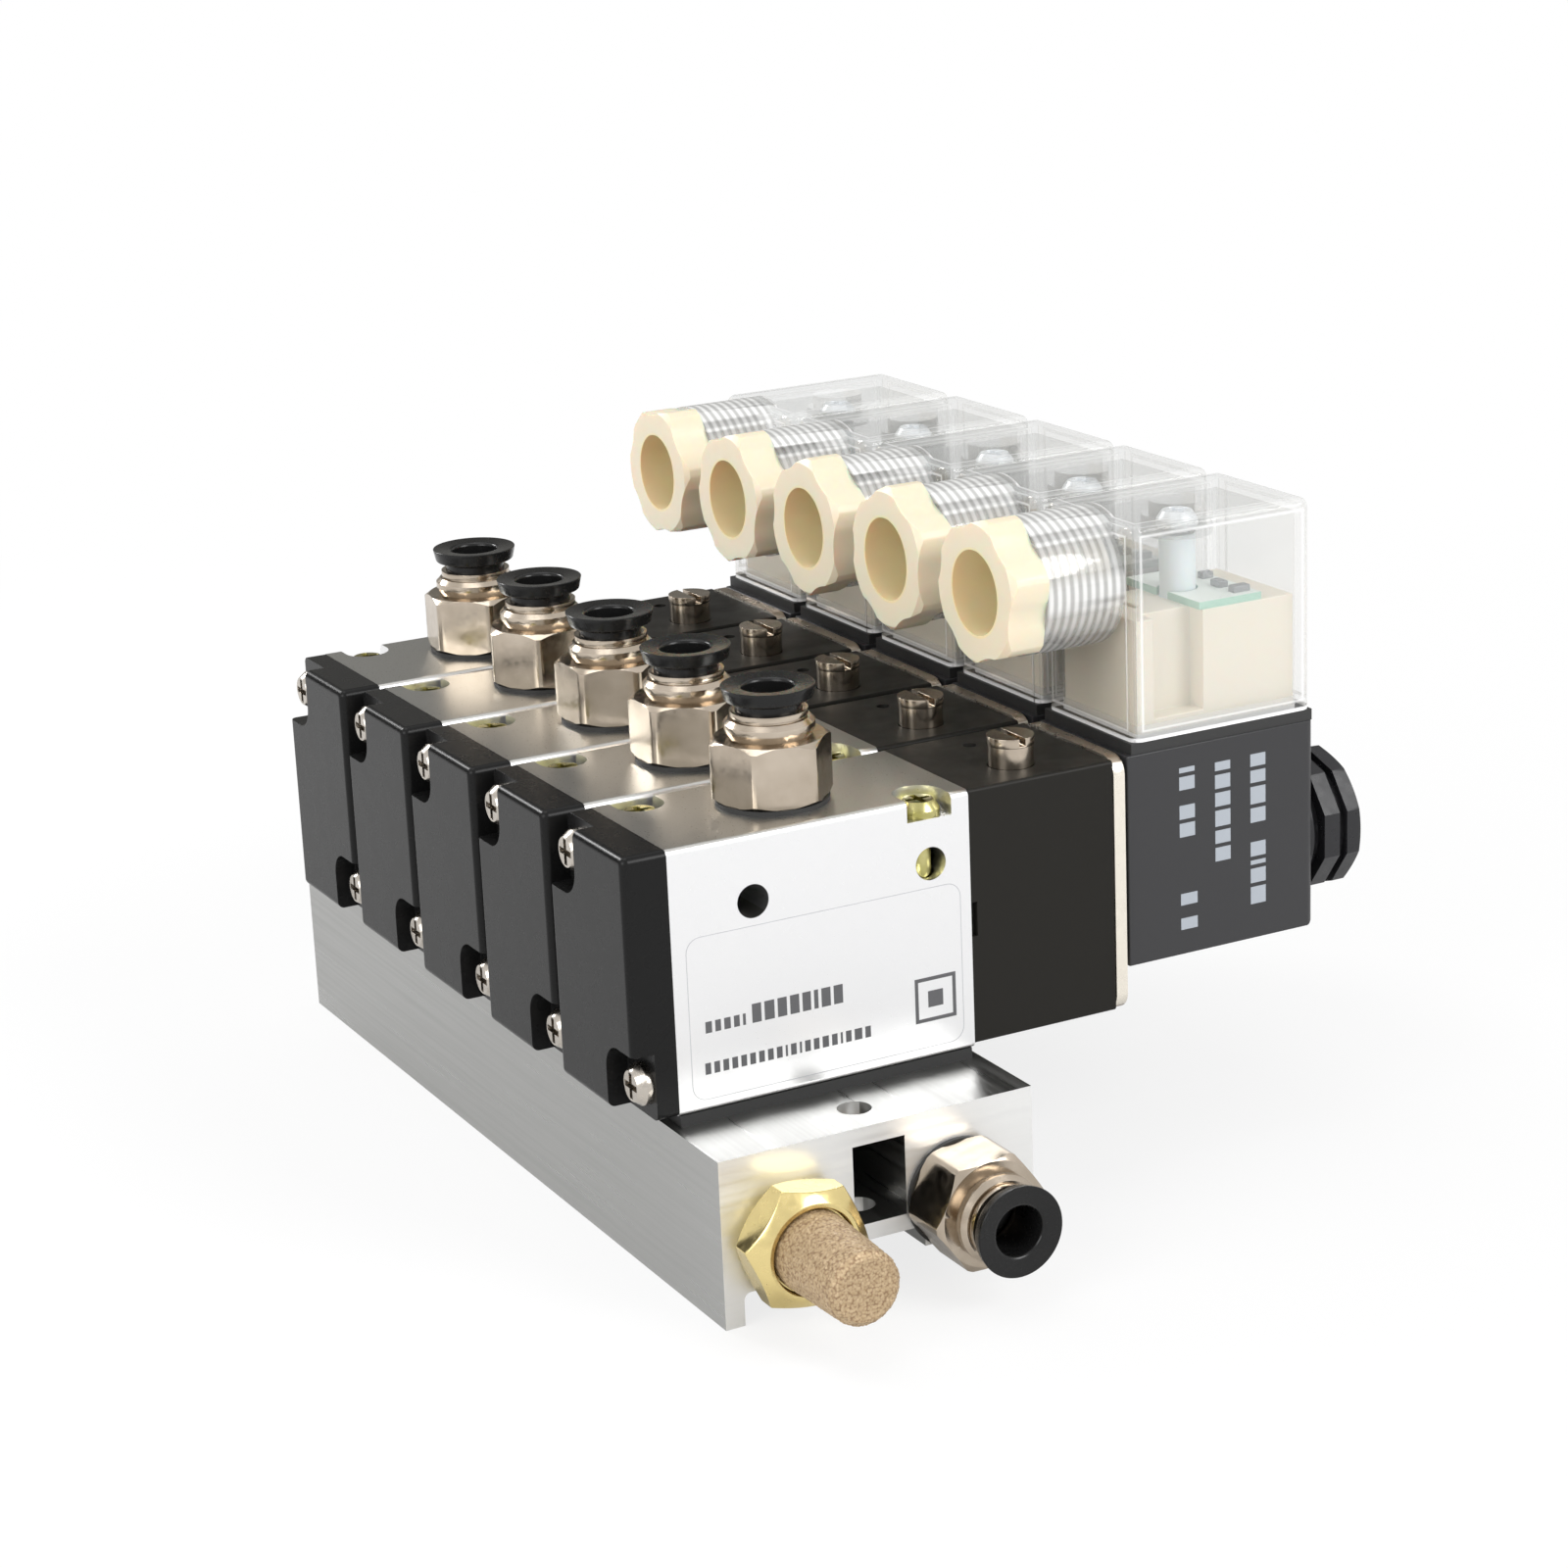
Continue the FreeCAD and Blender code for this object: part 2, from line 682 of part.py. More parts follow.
def coil(y):
    body = block(coil_left_x, coil_right_x, y - coil_half_width, y + coil_half_width, coil_base_z, body_top_z)
    rounded = [edge for edge in body.Edges if abs(edge.CenterOfMass.x - coil_right_x) < 0.01
               and edge.CenterOfMass.z < body_top_z - 0.01]
    body = body.makeFillet(coil_edge_radius, rounded)
    body = body.fuse(rod_x(coil_boss_radius, plate_right_x, coil_left_x, y, axis_z))
    body = body.cut(rod_x(tube_radius + tube_clearance, plate_right_x, coil_right_x, y, axis_z))
    screw_base = body_top_z - plug_screw_grip - 2 * thread_clearance
    body = body.cut(rod_z(plug_screw_radius + thread_clearance, screw_base, body_top_z, plug_x, y))
    for x in blade_places():
        body = body.fuse(block(x - blade_thickness / 2, x + blade_thickness / 2, y - blade_width / 2,
                               y + blade_width / 2, body_top_z, body_top_z + blade_height))
    return body


def coil_nut(y):
    ring_z = nut_skirt_length + nut_neck_length
    groove_z = ring_z + nut_ring_length
    face_z = groove_z + nut_groove_length
    chamfer_z = face_z + nut_face_length
    end_z = chamfer_z + nut_chamfer
    rim = nut_radius - nut_chamfer
    knob = turned([(0, 0), (rim, 0), (rim, nut_skirt_length), (nut_neck_radius, nut_skirt_length),
                   (nut_neck_radius, ring_z), (nut_radius, ring_z), (nut_radius, groove_z),
                   (nut_groove_radius, groove_z), (nut_groove_radius, face_z), (nut_radius, face_z),
                   (nut_radius, chamfer_z), (nut_radius - 2 * nut_chamfer, end_z), (0, end_z)])
    knob = knob.common(prism(nut_sides, nut_radius, 0, end_z))
    knob = knob.cut(rod_z(tube_radius + tube_clearance, 0, tube_end_stand, 0, 0))
    knob = knob.cut(rod_z(stud_radius + thread_clearance, 0, tube_end_stand + stud_length + stud_tip_gap, 0, 0))
    return towards_plus_x(knob, coil_right_x, y, axis_z)


def plug_gasket(y):
    reach = plug_half_width
    sheet = block(plug_left_x - plug_gasket_stand, plug_right_x, y - reach, y + reach, body_top_z, plug_base_z)
    sheet = sheet.cut(rod_z(plug_screw_hole_radius, body_top_z, plug_base_z, plug_x, y))
    for x in blade_places():
        sheet = sheet.cut(blade_slot(x, y, body_top_z, plug_base_z))
    return sheet


def blade_slot(x, y, z0, z1):
    half_x = blade_thickness / 2 + blade_clearance
    half_y = blade_width / 2 + blade_clearance
    return block(x - half_x, x + half_x, y - half_y, y + half_y, z0, z1)


def connector_shell(y):
    reach = plug_half_width
    shell = block(plug_left_x, plug_right_x, y - reach, y + reach, plug_base_z, plug_top_z)
    shell = shell.makeFillet(plug_edge_radius, edges_along(shell, vector(0, 0, 1)))
    top_edges = [edge for edge in shell.Edges if abs(edge.CenterOfMass.z - plug_top_z) < 0.01]
    shell = shell.makeFillet(plug_top_radius, top_edges)
    shell = shell.fuse(rod_x(gland_boss_radius, gland_face_x, plug_left_x + plug_wall, y, gland_z))
    inside = block(plug_left_x + plug_wall, plug_right_x - plug_wall, y - reach + plug_wall,
                   y + reach - plug_wall, plug_base_z, plug_top_z - plug_roof)
    shell = shell.cut(inside)
    shell = shell.cut(rod_x(gland_thread_radius + thread_clearance, gland_face_x, gland_step_x, y, gland_z))
    shell = shell.cut(rod_x(shell_throat_radius, gland_step_x, plug_left_x + plug_wall, y, gland_z))
    shell = shell.fuse(rod_z(plug_cup_radius + plug_cup_wall, cup_base_z, plug_top_z - plug_roof, plug_x, y))
    shell = shell.cut(rod_z(plug_cup_radius, cup_floor_z, plug_top_z, plug_x, y))
    return shell.cut(rod_z(plug_screw_hole_radius, cup_base_z, cup_floor_z, plug_x, y))


def terminal_block(y):
    gap = plug_wall + insert_clearance
    reach = plug_half_width - gap
    insert = block(plug_left_x + gap, plug_right_x - gap, y - reach, y + reach, plug_base_z, insert_top_z)
    insert = insert.fuse(rod_z(plug_screw_hole_radius + post_wall, insert_top_z, cup_base_z, plug_x, y))
    insert = insert.cut(rod_z(plug_screw_hole_radius, plug_base_z, cup_base_z, plug_x, y))
    for x in blade_places():
        insert = insert.cut(blade_slot(x, y, plug_base_z, insert_top_z))
    return insert


def led_board(y):
    reach = plug_half_width - plug_wall - 2 * insert_clearance
    board = block(plug_x - led_board_behind_screw, plug_x + led_board_ahead_of_screw, y - reach, y + reach,
                  insert_top_z, insert_top_z + led_board_thickness)
    hole = plug_screw_hole_radius + post_wall + led_board_clearance
    return board.cut(rod_z(hole, insert_top_z, insert_top_z + led_board_thickness, plug_x, y))


def connector_screw(y):
    screw = pan_screw(plug_screw_radius, cup_floor_z - body_top_z + plug_screw_grip)
    return upright(screw, plug_x, y, cup_floor_z)


def gland_nut(y):
    """Six-cornered cap nut with hollowed flats, each one tightened to its own angle."""
    rim = gland_head_radius - gland_head_chamfer
    chamfer_z = gland_head_length - gland_head_chamfer
    limit = turned([(0, 0), (gland_head_radius, 0), (gland_head_radius, chamfer_z),
                    (rim, gland_head_length), (0, gland_head_length)])
    head = prism(6, gland_head_corner, 0, gland_head_length).common(limit)
    flat_distance = gland_head_corner * math.cos(math.pi / 6)
    scallop_distance = flat_distance - gland_scallop_depth + gland_scallop_radius
    for i in range(6):
        angle = (i + 0.5) * math.pi / 3
        head = head.cut(rod_z(gland_scallop_radius, 0, gland_head_length, scallop_distance * math.cos(angle),
                              scallop_distance * math.sin(angle)))
    nut = head.fuse(rod_z(gland_thread_radius, -gland_sleeve_length, 0, 0, 0))
    nut = nut.cut(rod_z(gland_throat_radius, -gland_sleeve_length, gland_head_length, 0, 0))
    turn = gland_turns[valve_places.index(y) % len(gland_turns)]
    nut = aimed(nut, vector(0, 0, 1), turn, vector(0, 0, 0))
    return towards_minus_x(nut, gland_face_x, y, gland_z)


def gland_grommet(y):
    ring = rod_x(gland_thread_radius, gland_step_x - grommet_length, gland_step_x, y, gland_z)
    return ring.cut(rod_x(grommet_bore_radius, gland_step_x - grommet_length, gland_step_x, y, gland_z))


def fitting_neck(base):
    """Turned neck above the hexagon: a flared shoulder, a groove and a thin lip."""
    shoulder_top = base + fitting_shoulder_length
    lip_base = shoulder_top + fitting_groove_length
    return turned([(0, base), (fitting_shoulder_foot_radius, base),
                   (fitting_shoulder_radius, base + fitting_shoulder_flare),
                   (fitting_shoulder_radius, shoulder_top - fitting_shoulder_round),
                   (fitting_shoulder_radius - fitting_shoulder_round, shoulder_top),
                   (fitting_groove_radius, shoulder_top), (fitting_groove_radius, lip_base),
                   (fitting_lip_radius, lip_base), (fitting_lip_radius, lip_base + fitting_lip_length),
                   (0, lip_base + fitting_lip_length)])


def fitting_body(turn):
    """Body of a push-in fitting about Z, its hexagon's first corner at the angle turn."""
    hex_base = seal_washer_thickness
    hex_top = hex_base + fitting_hex_length
    seal_base = tube_socket_base + tube_socket_length
    guide_base = seal_base + 2 * ring_seal_radius + ring_seal_slack
    body = hex_block(fitting_flats, hex_base, hex_top, fitting_hex_chamfer, turn)
    body = body.common(rod_z(fitting_corner_radius, hex_base, hex_top, 0, 0))
    body = body.fuse(rod_z(port_thread_radius - thread_clearance, -fitting_thread_length, hex_base, 0, 0))
    body = body.fuse(fitting_neck(hex_top))
    guide = collet_radius + collet_clearance
    seal_seat = tube_socket_radius + 2 * ring_seal_radius + thread_clearance
    body = body.cut(rod_z(fitting_passage_radius, -fitting_thread_length, tube_socket_base, 0, 0))
    body = body.cut(rod_z(tube_socket_radius, tube_socket_base, seal_base, 0, 0))
    body = body.cut(rod_z(seal_seat, seal_base, guide_base, 0, 0))
    return body.cut(rod_z(guide, guide_base, fitting_lip_top, 0, 0))


def seal_washer():
    ring = rod_z(seal_washer_radius, 0, seal_washer_thickness, 0, 0)
    return ring.cut(rod_z(port_thread_radius, 0, seal_washer_thickness, 0, 0))


def tube_seal():
    height = tube_socket_base + tube_socket_length + ring_seal_radius
    return Part.makeTorus(tube_socket_radius + ring_seal_radius, ring_seal_radius, vector(0, 0, height))


def collet():
    """Release collet about Z: a sleeve with a dished flange on a short cone."""
    cone_base = fitting_lip_top + collet_neck
    band_base = cone_base + collet_cone_length
    top = band_base + collet_band_length
    sleeve_base = fitting_lip_top - collet_insertion + collet_travel
    mouth = collet_bore_radius + collet_bore_chamfer
    return turned([(collet_bore_radius, sleeve_base), (collet_radius, sleeve_base), (collet_radius, cone_base),
                   (collet_flange_foot_radius, band_base), (collet_flange_radius, top),
                   (mouth, top - collet_dish_depth),
                   (collet_bore_radius, top - collet_dish_depth - collet_bore_chamfer)])


def at_outlet(shape, y):
    return upright(shape, fitting_x, y, body_top_z)


def at_supply(shape):
    return towards_minus_y(shape, supply_x, rail_front_y, port_height)


def at_all_ports(shape):
    return [at_outlet(shape, y) for y in valve_places] + [at_supply(shape)]


def fitting_bodies():
    """The outlet fittings stand as tightened, each hexagon at its own angle."""
    bodies = []
    for i, y in enumerate(valve_places):
        bodies.append(at_outlet(fitting_body(fitting_turns[i % len(fitting_turns)]), y))
    return bodies + [at_supply(fitting_body(supply_fitting_turn))]


def silencer_base():
    length = silencer_hex_length
    seat = length - silencer_seat_depth
    corner = silencer_flats / math.sqrt(3)
    limit = turned([(0, 0), (silencer_front_radius, 0), (corner, silencer_cone_length),
                    (corner, length - silencer_cone_length), (silencer_front_radius, length), (0, length)])
    base = prism(6, corner, 0, length, silencer_turn).common(limit)
    base = base.fuse(rod_z(port_thread_radius - thread_clearance, -fitting_thread_length, 0, 0, 0))
    base = base.cut(rod_z(silencer_bore_radius, -fitting_thread_length, seat, 0, 0))
    base = base.cut(rod_z(element_base_radius + silencer_seat_clearance, seat, length, 0, 0))
    return towards_minus_y(base, exhaust_x, rail_front_y, port_height)


def silencer_element():
    base_z = silencer_hex_length - silencer_seat_depth
    tip_z = base_z + element_length
    round_z = tip_z - element_round
    inner = silencer_bore_radius
    outline = [(inner, base_z), (element_base_radius, base_z), (element_tip_radius, round_z),
               (element_tip_radius - element_round, tip_z), (0, tip_z), (0, tip_z - element_wall),
               (inner - element_round, tip_z - element_wall)]
    return towards_minus_y(turned(outline), exhaust_x, rail_front_y, port_height)


def write(node, shapes):
    whole = shapes[0] if len(shapes) == 1 else Part.makeCompound(shapes)
    whole.exportStep("parts/" + node + ".step")


def write_each(node, make):
    """One node for each valve, numbered from the front of the rail."""
    for number, y in enumerate(valve_places, 1):
        write(node + "_" + str(number), [make(y)])


def write_group(node, make):
    """One node that holds this piece of every valve as separate solids."""
    write(node, [make(y) for y in valve_places])


os.makedirs("parts", exist_ok=True)

write("manifold", [manifold()])
write_each("valve_body", valve_body)
write_each("coil", coil)
write_each("spool", spool)
write_each("armature", armature)
write_each("override_button", override_button)
write_each("override_seal", override_seal)
write_each("collet", lambda y: at_outlet(collet(), y))
write("supply_collet", [at_supply(collet())])

write_group("valve_gaskets", valve_gasket)
write_group("end_caps", end_cap)
write_group("pilot_blocks", pilot_block)
write_group("retainer_plates", retainer_plate)
write_group("armature_tubes", armature_tube)
write_group("coil_nuts", coil_nut)
write_group("connector_gaskets", plug_gasket)
write_group("connector_shells", connector_shell)
write_group("terminal_blocks", terminal_block)
write_group("led_boards", led_board)
write_group("connector_screws", connector_screw)
write_group("gland_nuts", gland_nut)
write_group("gland_grommets", gland_grommet)
write_group("spool_springs", spool_spring)
write_group("armature_springs", armature_spring)
write_group("override_springs", override_spring)

write("end_cap_screws", [screw for y in valve_places for screw in cap_screws(y)])
write("rail_screws", [screw for y in valve_places for screw in rail_screws(y)])
write("fitting_bodies", fitting_bodies())
write("seal_washers", at_all_ports(seal_washer()))
write("tube_seals", at_all_ports(tube_seal()))
write("silencer_base", [silencer_base()])
write("silencer_element", [silencer_element()])
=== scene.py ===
import json
import math

import bpy
from mathutils import Matrix, Vector

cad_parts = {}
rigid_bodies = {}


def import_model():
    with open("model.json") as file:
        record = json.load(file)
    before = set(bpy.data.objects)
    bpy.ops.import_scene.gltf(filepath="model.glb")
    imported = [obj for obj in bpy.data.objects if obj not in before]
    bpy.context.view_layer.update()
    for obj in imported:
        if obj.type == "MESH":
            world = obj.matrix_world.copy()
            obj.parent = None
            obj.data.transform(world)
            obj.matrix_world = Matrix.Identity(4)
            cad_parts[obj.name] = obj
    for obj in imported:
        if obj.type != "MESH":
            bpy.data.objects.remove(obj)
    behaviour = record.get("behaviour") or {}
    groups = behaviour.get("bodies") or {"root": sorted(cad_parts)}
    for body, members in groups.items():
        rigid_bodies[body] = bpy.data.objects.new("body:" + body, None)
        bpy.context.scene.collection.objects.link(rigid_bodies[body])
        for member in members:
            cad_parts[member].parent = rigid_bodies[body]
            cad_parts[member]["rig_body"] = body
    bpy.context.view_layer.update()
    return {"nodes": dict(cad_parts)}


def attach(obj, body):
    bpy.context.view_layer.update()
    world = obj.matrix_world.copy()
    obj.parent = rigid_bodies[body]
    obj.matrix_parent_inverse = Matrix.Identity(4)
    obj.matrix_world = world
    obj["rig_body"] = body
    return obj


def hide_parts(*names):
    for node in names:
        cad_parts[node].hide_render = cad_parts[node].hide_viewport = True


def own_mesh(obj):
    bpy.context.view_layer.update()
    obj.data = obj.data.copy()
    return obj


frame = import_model()

# Manifold rail: one extruded length of aluminium, sawn square and brushed along its length.
# Its edges are only just broken, so they catch the light as thin bright lines.
MM = 0.001
VALVES = range(1, 6)
PITCH = 23 * MM
FIRST_VALVE_Y = -46 * MM
SHARP_ANGLE = math.radians(32)


class Signal:
    """A shader socket that can be written into sums; each operation adds one Math node."""

    def __init__(self, finish, socket):
        self.finish, self.socket = finish, socket

    def __add__(self, other):
        return self.finish.maths("ADD", self, other)

    def __sub__(self, other):
        return self.finish.maths("SUBTRACT", self, other)

    def __rsub__(self, other):
        return self.finish.maths("SUBTRACT", other, self)

    def __mul__(self, other):
        return self.finish.maths("MULTIPLY", self, other)

    def __gt__(self, other):
        return self.finish.maths("GREATER_THAN", self, other)


class Finish:
    """One material of the island: a principled shader that reads object coordinates."""

    def __init__(self, name, colour, rough, metal=0.0, **sockets):
        self.material = bpy.data.materials.new(name)
        self.material.use_nodes = True
        self.tree = self.material.node_tree
        self.shader = self.tree.nodes["Principled BSDF"]
        sockets.update(Base_Color=(*colour, 1.0), Roughness=rough, Metallic=metal)
        for key, value in sockets.items():
            self.shader.inputs[key.replace("_", " ")].default_value = value

    def node(self, kind, settings, values, out=0):
        """Adds a node with these settings and inputs, and gives its output of that name or number."""
        made = self.tree.nodes.new(kind)
        for key, value in settings.items():
            setattr(made, key, value)
        for key, value in values.items():
            if isinstance(value, Signal):
                self.tree.links.new(value.socket, made.inputs[key])
            else:
                made.inputs[key].default_value = value
        return Signal(self, made.outputs[out])

    def maths(self, operation, first, second=0.0):
        return self.node("ShaderNodeMath", {"operation": operation}, {0: first, 1: second})

    def place(self, stretch=(1, 1, 1)):
        """Object coordinates, in metres, stretched along the three axes."""
        here = self.node("ShaderNodeTexCoord", {}, {}, "Object")
        return self.node("ShaderNodeMapping", {}, {"Vector": here, "Scale": stretch})

    def noise(self, scale, detail=2.0, stretch=(1, 1, 1)):
        values = {"Vector": self.place(stretch), "Scale": scale, "Detail": detail}
        return self.node("ShaderNodeTexNoise", {}, values)

    def ramp(self, signal, start, end, low=0.0, high=1.0):
        """Runs from low to high while the signal runs from start to end, and stays there outside."""
        return self.node("ShaderNodeMapRange", {}, {"Value": signal, 1: start, 2: end, 3: low, 4: high})

    def spread(self, signal, low, high):
        """A noise signal, which stays near a half, widened to run from low to high."""
        return self.ramp(signal, 0.3, 0.7, low, high)

    def blend(self, factor, first, second):
        """A colour that goes from the first to the second with the factor."""
        colours = {6: (*first, 1.0) if isinstance(first, tuple) else first,
                   7: (*second, 1.0) if isinstance(second, tuple) else second}
        return self.node("ShaderNodeMix", {"data_type": "RGBA"}, {0: factor, **colours}, 2)

    def mixed(self, factor, first, second):
        """A number that goes from the first to the second signal with the factor."""
        return factor * second + (1 - factor) * first

    def along(self, axis):
        """How far a point lies along the axis 0, 1 or 2 from the origin, in metres."""
        here = self.node("ShaderNodeTexCoord", {}, {}, "Object")
        return self.node("ShaderNodeSeparateXYZ", {}, {"Vector": here}, axis)

    def facing(self, axis):
        """1 on faces that look along the axis 0, 1 or 2, either way, and 0 on the others."""
        normal = self.node("ShaderNodeTexCoord", {}, {}, "Normal")
        parts = self.node("ShaderNodeSeparateXYZ", {}, {"Vector": normal}, axis)
        return self.maths("ABSOLUTE", parts) > 0.7

    def feed(self, socket, signal):
        self.tree.links.new(signal.socket, self.shader.inputs[socket])

    def roughen(self, low, high, *noise):
        """A roughness that wanders from low to high with the noise of that scale, detail and stretch."""
        self.feed("Roughness", self.spread(self.noise(*noise), low, high))

    def bump(self, height, depth, strength):
        """Relief whose full height is depth, in metres."""
        values = {"Height": height, "Distance": depth, "Strength": strength}
        self.feed("Normal", self.node("ShaderNodeBump", {}, values))


def choose(thing):
    """Deselects everything, then makes one object the selected and active one."""
    bpy.ops.object.select_all(action="DESELECT")
    thing.select_set(True)
    bpy.context.view_layer.objects.active = thing


def coat(thing, finish):
    thing.data.materials.clear()
    thing.data.materials.append(finish.material)


def finish_edges(piece, edge, segments):
    """Rounds a piece's sharp edges by a bevel of that width and keeps its flat faces flat."""
    choose(piece)
    if edge:
        rounding = piece.modifiers.new("edges", "BEVEL")
        rounding.width, rounding.segments = edge, segments
        rounding.limit_method, rounding.angle_limit = "ANGLE", SHARP_ANGLE
        bpy.ops.object.modifier_apply(modifier="edges")
    bpy.ops.object.shade_smooth_by_angle(angle=SHARP_ANGLE)
    flat = piece.modifiers.new("flat", "WEIGHTED_NORMAL")
    flat.keep_sharp, flat.weight = True, 80
    bpy.ops.object.modifier_apply(modifier="flat")
    return piece


def merged_copy(node, name, flat_angle=0.4):
    """A copy of a CAD node, its triangles joined into faces flat to that angle in degrees.
    An angle of 0 keeps the triangles, which faces with holes need."""
    piece = bpy.data.objects.new(name, frame["nodes"][node].data.copy())
    bpy.context.scene.collection.objects.link(piece)
    choose(piece)
    bpy.ops.object.mode_set(mode="EDIT")
    bpy.ops.mesh.select_all(action="SELECT")
    bpy.ops.mesh.remove_doubles(threshold=0.002 * MM)
    if flat_angle:
        bpy.ops.mesh.dissolve_limited(angle_limit=math.radians(flat_angle))
    bpy.ops.object.mode_set(mode="OBJECT")
    return piece


def stand_for(piece, node, finish):
    """The piece takes a CAD node's place on its body and gets its finish."""
    coat(piece, finish)
    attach(piece, frame["nodes"][node]["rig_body"])
    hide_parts(node)


def dressed(node, finish, edge=0.15 * MM, segments=2, flat_angle=0.4):
    """A CAD node shown by a copy of itself with softened edges."""
    piece = finish_edges(merged_copy(node, node + "_shown", flat_angle), edge, segments)
    stand_for(piece, node, finish)


rail_metal = Finish("brushed rail", (0.80, 0.80, 0.80), 0.32, 1.0)
rail_streaks = rail_metal.noise(1400, 3, (1, 0.015, 1))
end_streaks = rail_metal.noise(1400, 3, (0.015, 1, 1))
faces_end = rail_metal.facing(1)
brushing = rail_metal.mixed(faces_end, rail_streaks, end_streaks)
# Painted shade: lighter end faces, darker sides and the darkest top, for how the light falls on them.
painted_face_shade = rail_metal.blend(faces_end, (0.39, 0.39, 0.38), (0.76, 0.76, 0.75))
rail_metal.feed("Base Color", rail_metal.blend(rail_metal.facing(2), painted_face_shade, (0.32, 0.32, 0.31)))
rail_metal.feed("Roughness", rail_metal.spread(brushing, 0.26, 0.42) + faces_end * 0.12)
rail_metal.bump(brushing, 0.006 * MM, 0.5)
dressed("manifold", rail_metal, 0.12 * MM)

# Valve gaskets: black nitrile sheets squeezed between each valve and the rail.
# They are punched out, so their edges stay square and dull.
black_rubber = Finish("nitrile rubber", (0.018, 0.018, 0.018), 0.62)
black_rubber.bump(black_rubber.noise(2500), 0.02 * MM, 0.5)
coat(frame["nodes"]["valve_gaskets"], black_rubber)

# Valve bodies: extruded aluminium, glass-bead blasted to a satin silver.
# Its colour paints the top face a shade darker than the sides, as painted shade.
body_metal = Finish("satin valve body", (0.86, 0.86, 0.865), 0.30, 1.0)
body_grain = body_metal.noise(4000, 3)
painted_top_shade = body_metal.blend(body_metal.facing(2), (0.80, 0.80, 0.805), (0.56, 0.555, 0.53))
body_metal.feed("Base Color", painted_top_shade)
body_metal.feed("Roughness", body_metal.spread(body_grain, 0.27, 0.37))
body_metal.bump(body_grain, 0.003 * MM, 0.4)
for number in VALVES:
    dressed("valve_body_%d" % number, body_metal)

# Side labels: a thin printed outline and rows of plain grey blocks on each body's side face.
# The ink is a few hundredths of a millimetre thick and dull.
INK_DEPTH = 0.02 * MM
LABEL_X, LABEL_Z = 0.2 * MM, 36.0 * MM
LABEL_WIDTH, LABEL_HEIGHT = 39.0 * MM, 21.4 * MM
LABEL_CORNER, LABEL_LINE = 2.0 * MM, 0.12 * MM


def cuboid(x, y, z, wide, deep, high):
    """A box about a middle point, all in metres."""
    bpy.ops.mesh.primitive_cube_add(size=1, location=(x, y, z), scale=(wide, deep, high))
    return bpy.context.object


def joined(made, name):
    """Joins objects into one with its place in its mesh."""
    bpy.ops.object.select_all(action="DESELECT")
    for thing in made:
        thing.select_set(True)
    bpy.context.view_layer.objects.active = made[0]
    bpy.ops.object.join()
    bpy.ops.object.transform_apply(location=True, rotation=True, scale=True)
    made[0].name = name
    return made[0]


def printed_blocks(name, face_y, blocks):
    """Flat blocks of ink, each given as X, Z, width and height in mm, on a face that looks to -Y."""
    made = []
    for x, z, width, height in blocks:
        middle = ((x + width / 2) * MM, face_y, (z + height / 2) * MM)
        made.append(cuboid(*middle, width * MM, INK_DEPTH, height * MM))
    return joined(made, name)


def one_per_valve(first, name, finish):
    """Gives the piece modelled on the front valve a copy with its own mesh on every valve."""
    for number in VALVES:
        piece = bpy.data.objects.new("%s_%d" % (name, number), first.data.copy())
        piece.data.transform(Matrix.Translation((0, (number - 1) * PITCH, 0)))
        bpy.context.scene.collection.objects.link(piece)
        coat(piece, finish)
        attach(piece, "island")
    bpy.data.objects.remove(first)


def row_of_blocks(x, z, height, widths, gap=0.45):
    """Blocks of those widths side by side; a width below 0 leaves that much empty."""
    row = []
    for width in widths:
        if width > 0:
            row.append((x, z, width, height))
        x += abs(width) + gap
    return row


label_ink = Finish("label ink", (0.09, 0.09, 0.095), 0.6)
label_ink.roughen(0.5, 0.7, 900)
FRONT_FACE = -57 * MM
first_line = row_of_blocks(-17.1, 34.0, 1.5, [0.9, 0.8, 0.9, 0.8, 0.4, -0.8])
first_line += row_of_blocks(-10.6, 34.0, 2.5, [1.3, 1.4, 1.3, 1.3, 1.2, 0.6, 1.3, 1.3])
second_widths = [0.8] * 9 + [0.3, 0.8, 0.3, 0.8, 0.8, 0.9, 0.8, 0.3, 0.8, 1.1, 0.8]
second_line = row_of_blocks(-17.4, 28.6, 1.5, second_widths)
square = [(12.6, 28.8, 6.0, 0.5), (12.6, 34.3, 6.0, 0.5), (12.6, 29.3, 0.5, 5.0),
          (18.1, 29.3, 0.5, 5.0), (14.5, 30.7, 2.2, 2.2)]
label = printed_blocks("label_front", FRONT_FACE, first_line + second_line + square)
one_per_valve(label, "label_print", label_ink)

outline_ink = Finish("label edge", (0.50, 0.50, 0.52), 0.4, 0.3)
outline_ink.roughen(0.34, 0.5, 900)
bpy.ops.mesh.primitive_plane_add(size=1, location=(LABEL_X, FRONT_FACE + INK_DEPTH / 2, LABEL_Z),
                                 rotation=(math.radians(90), 0, 0))
outline = bpy.context.object
outline.scale = (LABEL_WIDTH, LABEL_HEIGHT, 1)
bpy.ops.object.transform_apply(location=True, rotation=True, scale=True)
bpy.ops.object.mode_set(mode="EDIT")
bpy.ops.mesh.select_all(action="SELECT")
bpy.ops.mesh.bevel(offset=LABEL_CORNER, affect="VERTICES", segments=6)
bpy.ops.mesh.select_all(action="SELECT")
bpy.ops.mesh.inset(thickness=LABEL_LINE)
bpy.ops.mesh.delete(type="FACE")
bpy.ops.mesh.select_all(action="SELECT")
bpy.ops.mesh.extrude_region_move(TRANSFORM_OT_translate={"value": (0, -INK_DEPTH, 0)})
bpy.ops.mesh.select_all(action="SELECT")
bpy.ops.mesh.normals_make_consistent(inside=False)
bpy.ops.object.mode_set(mode="OBJECT")
one_per_valve(outline, "label_edge", outline_ink)

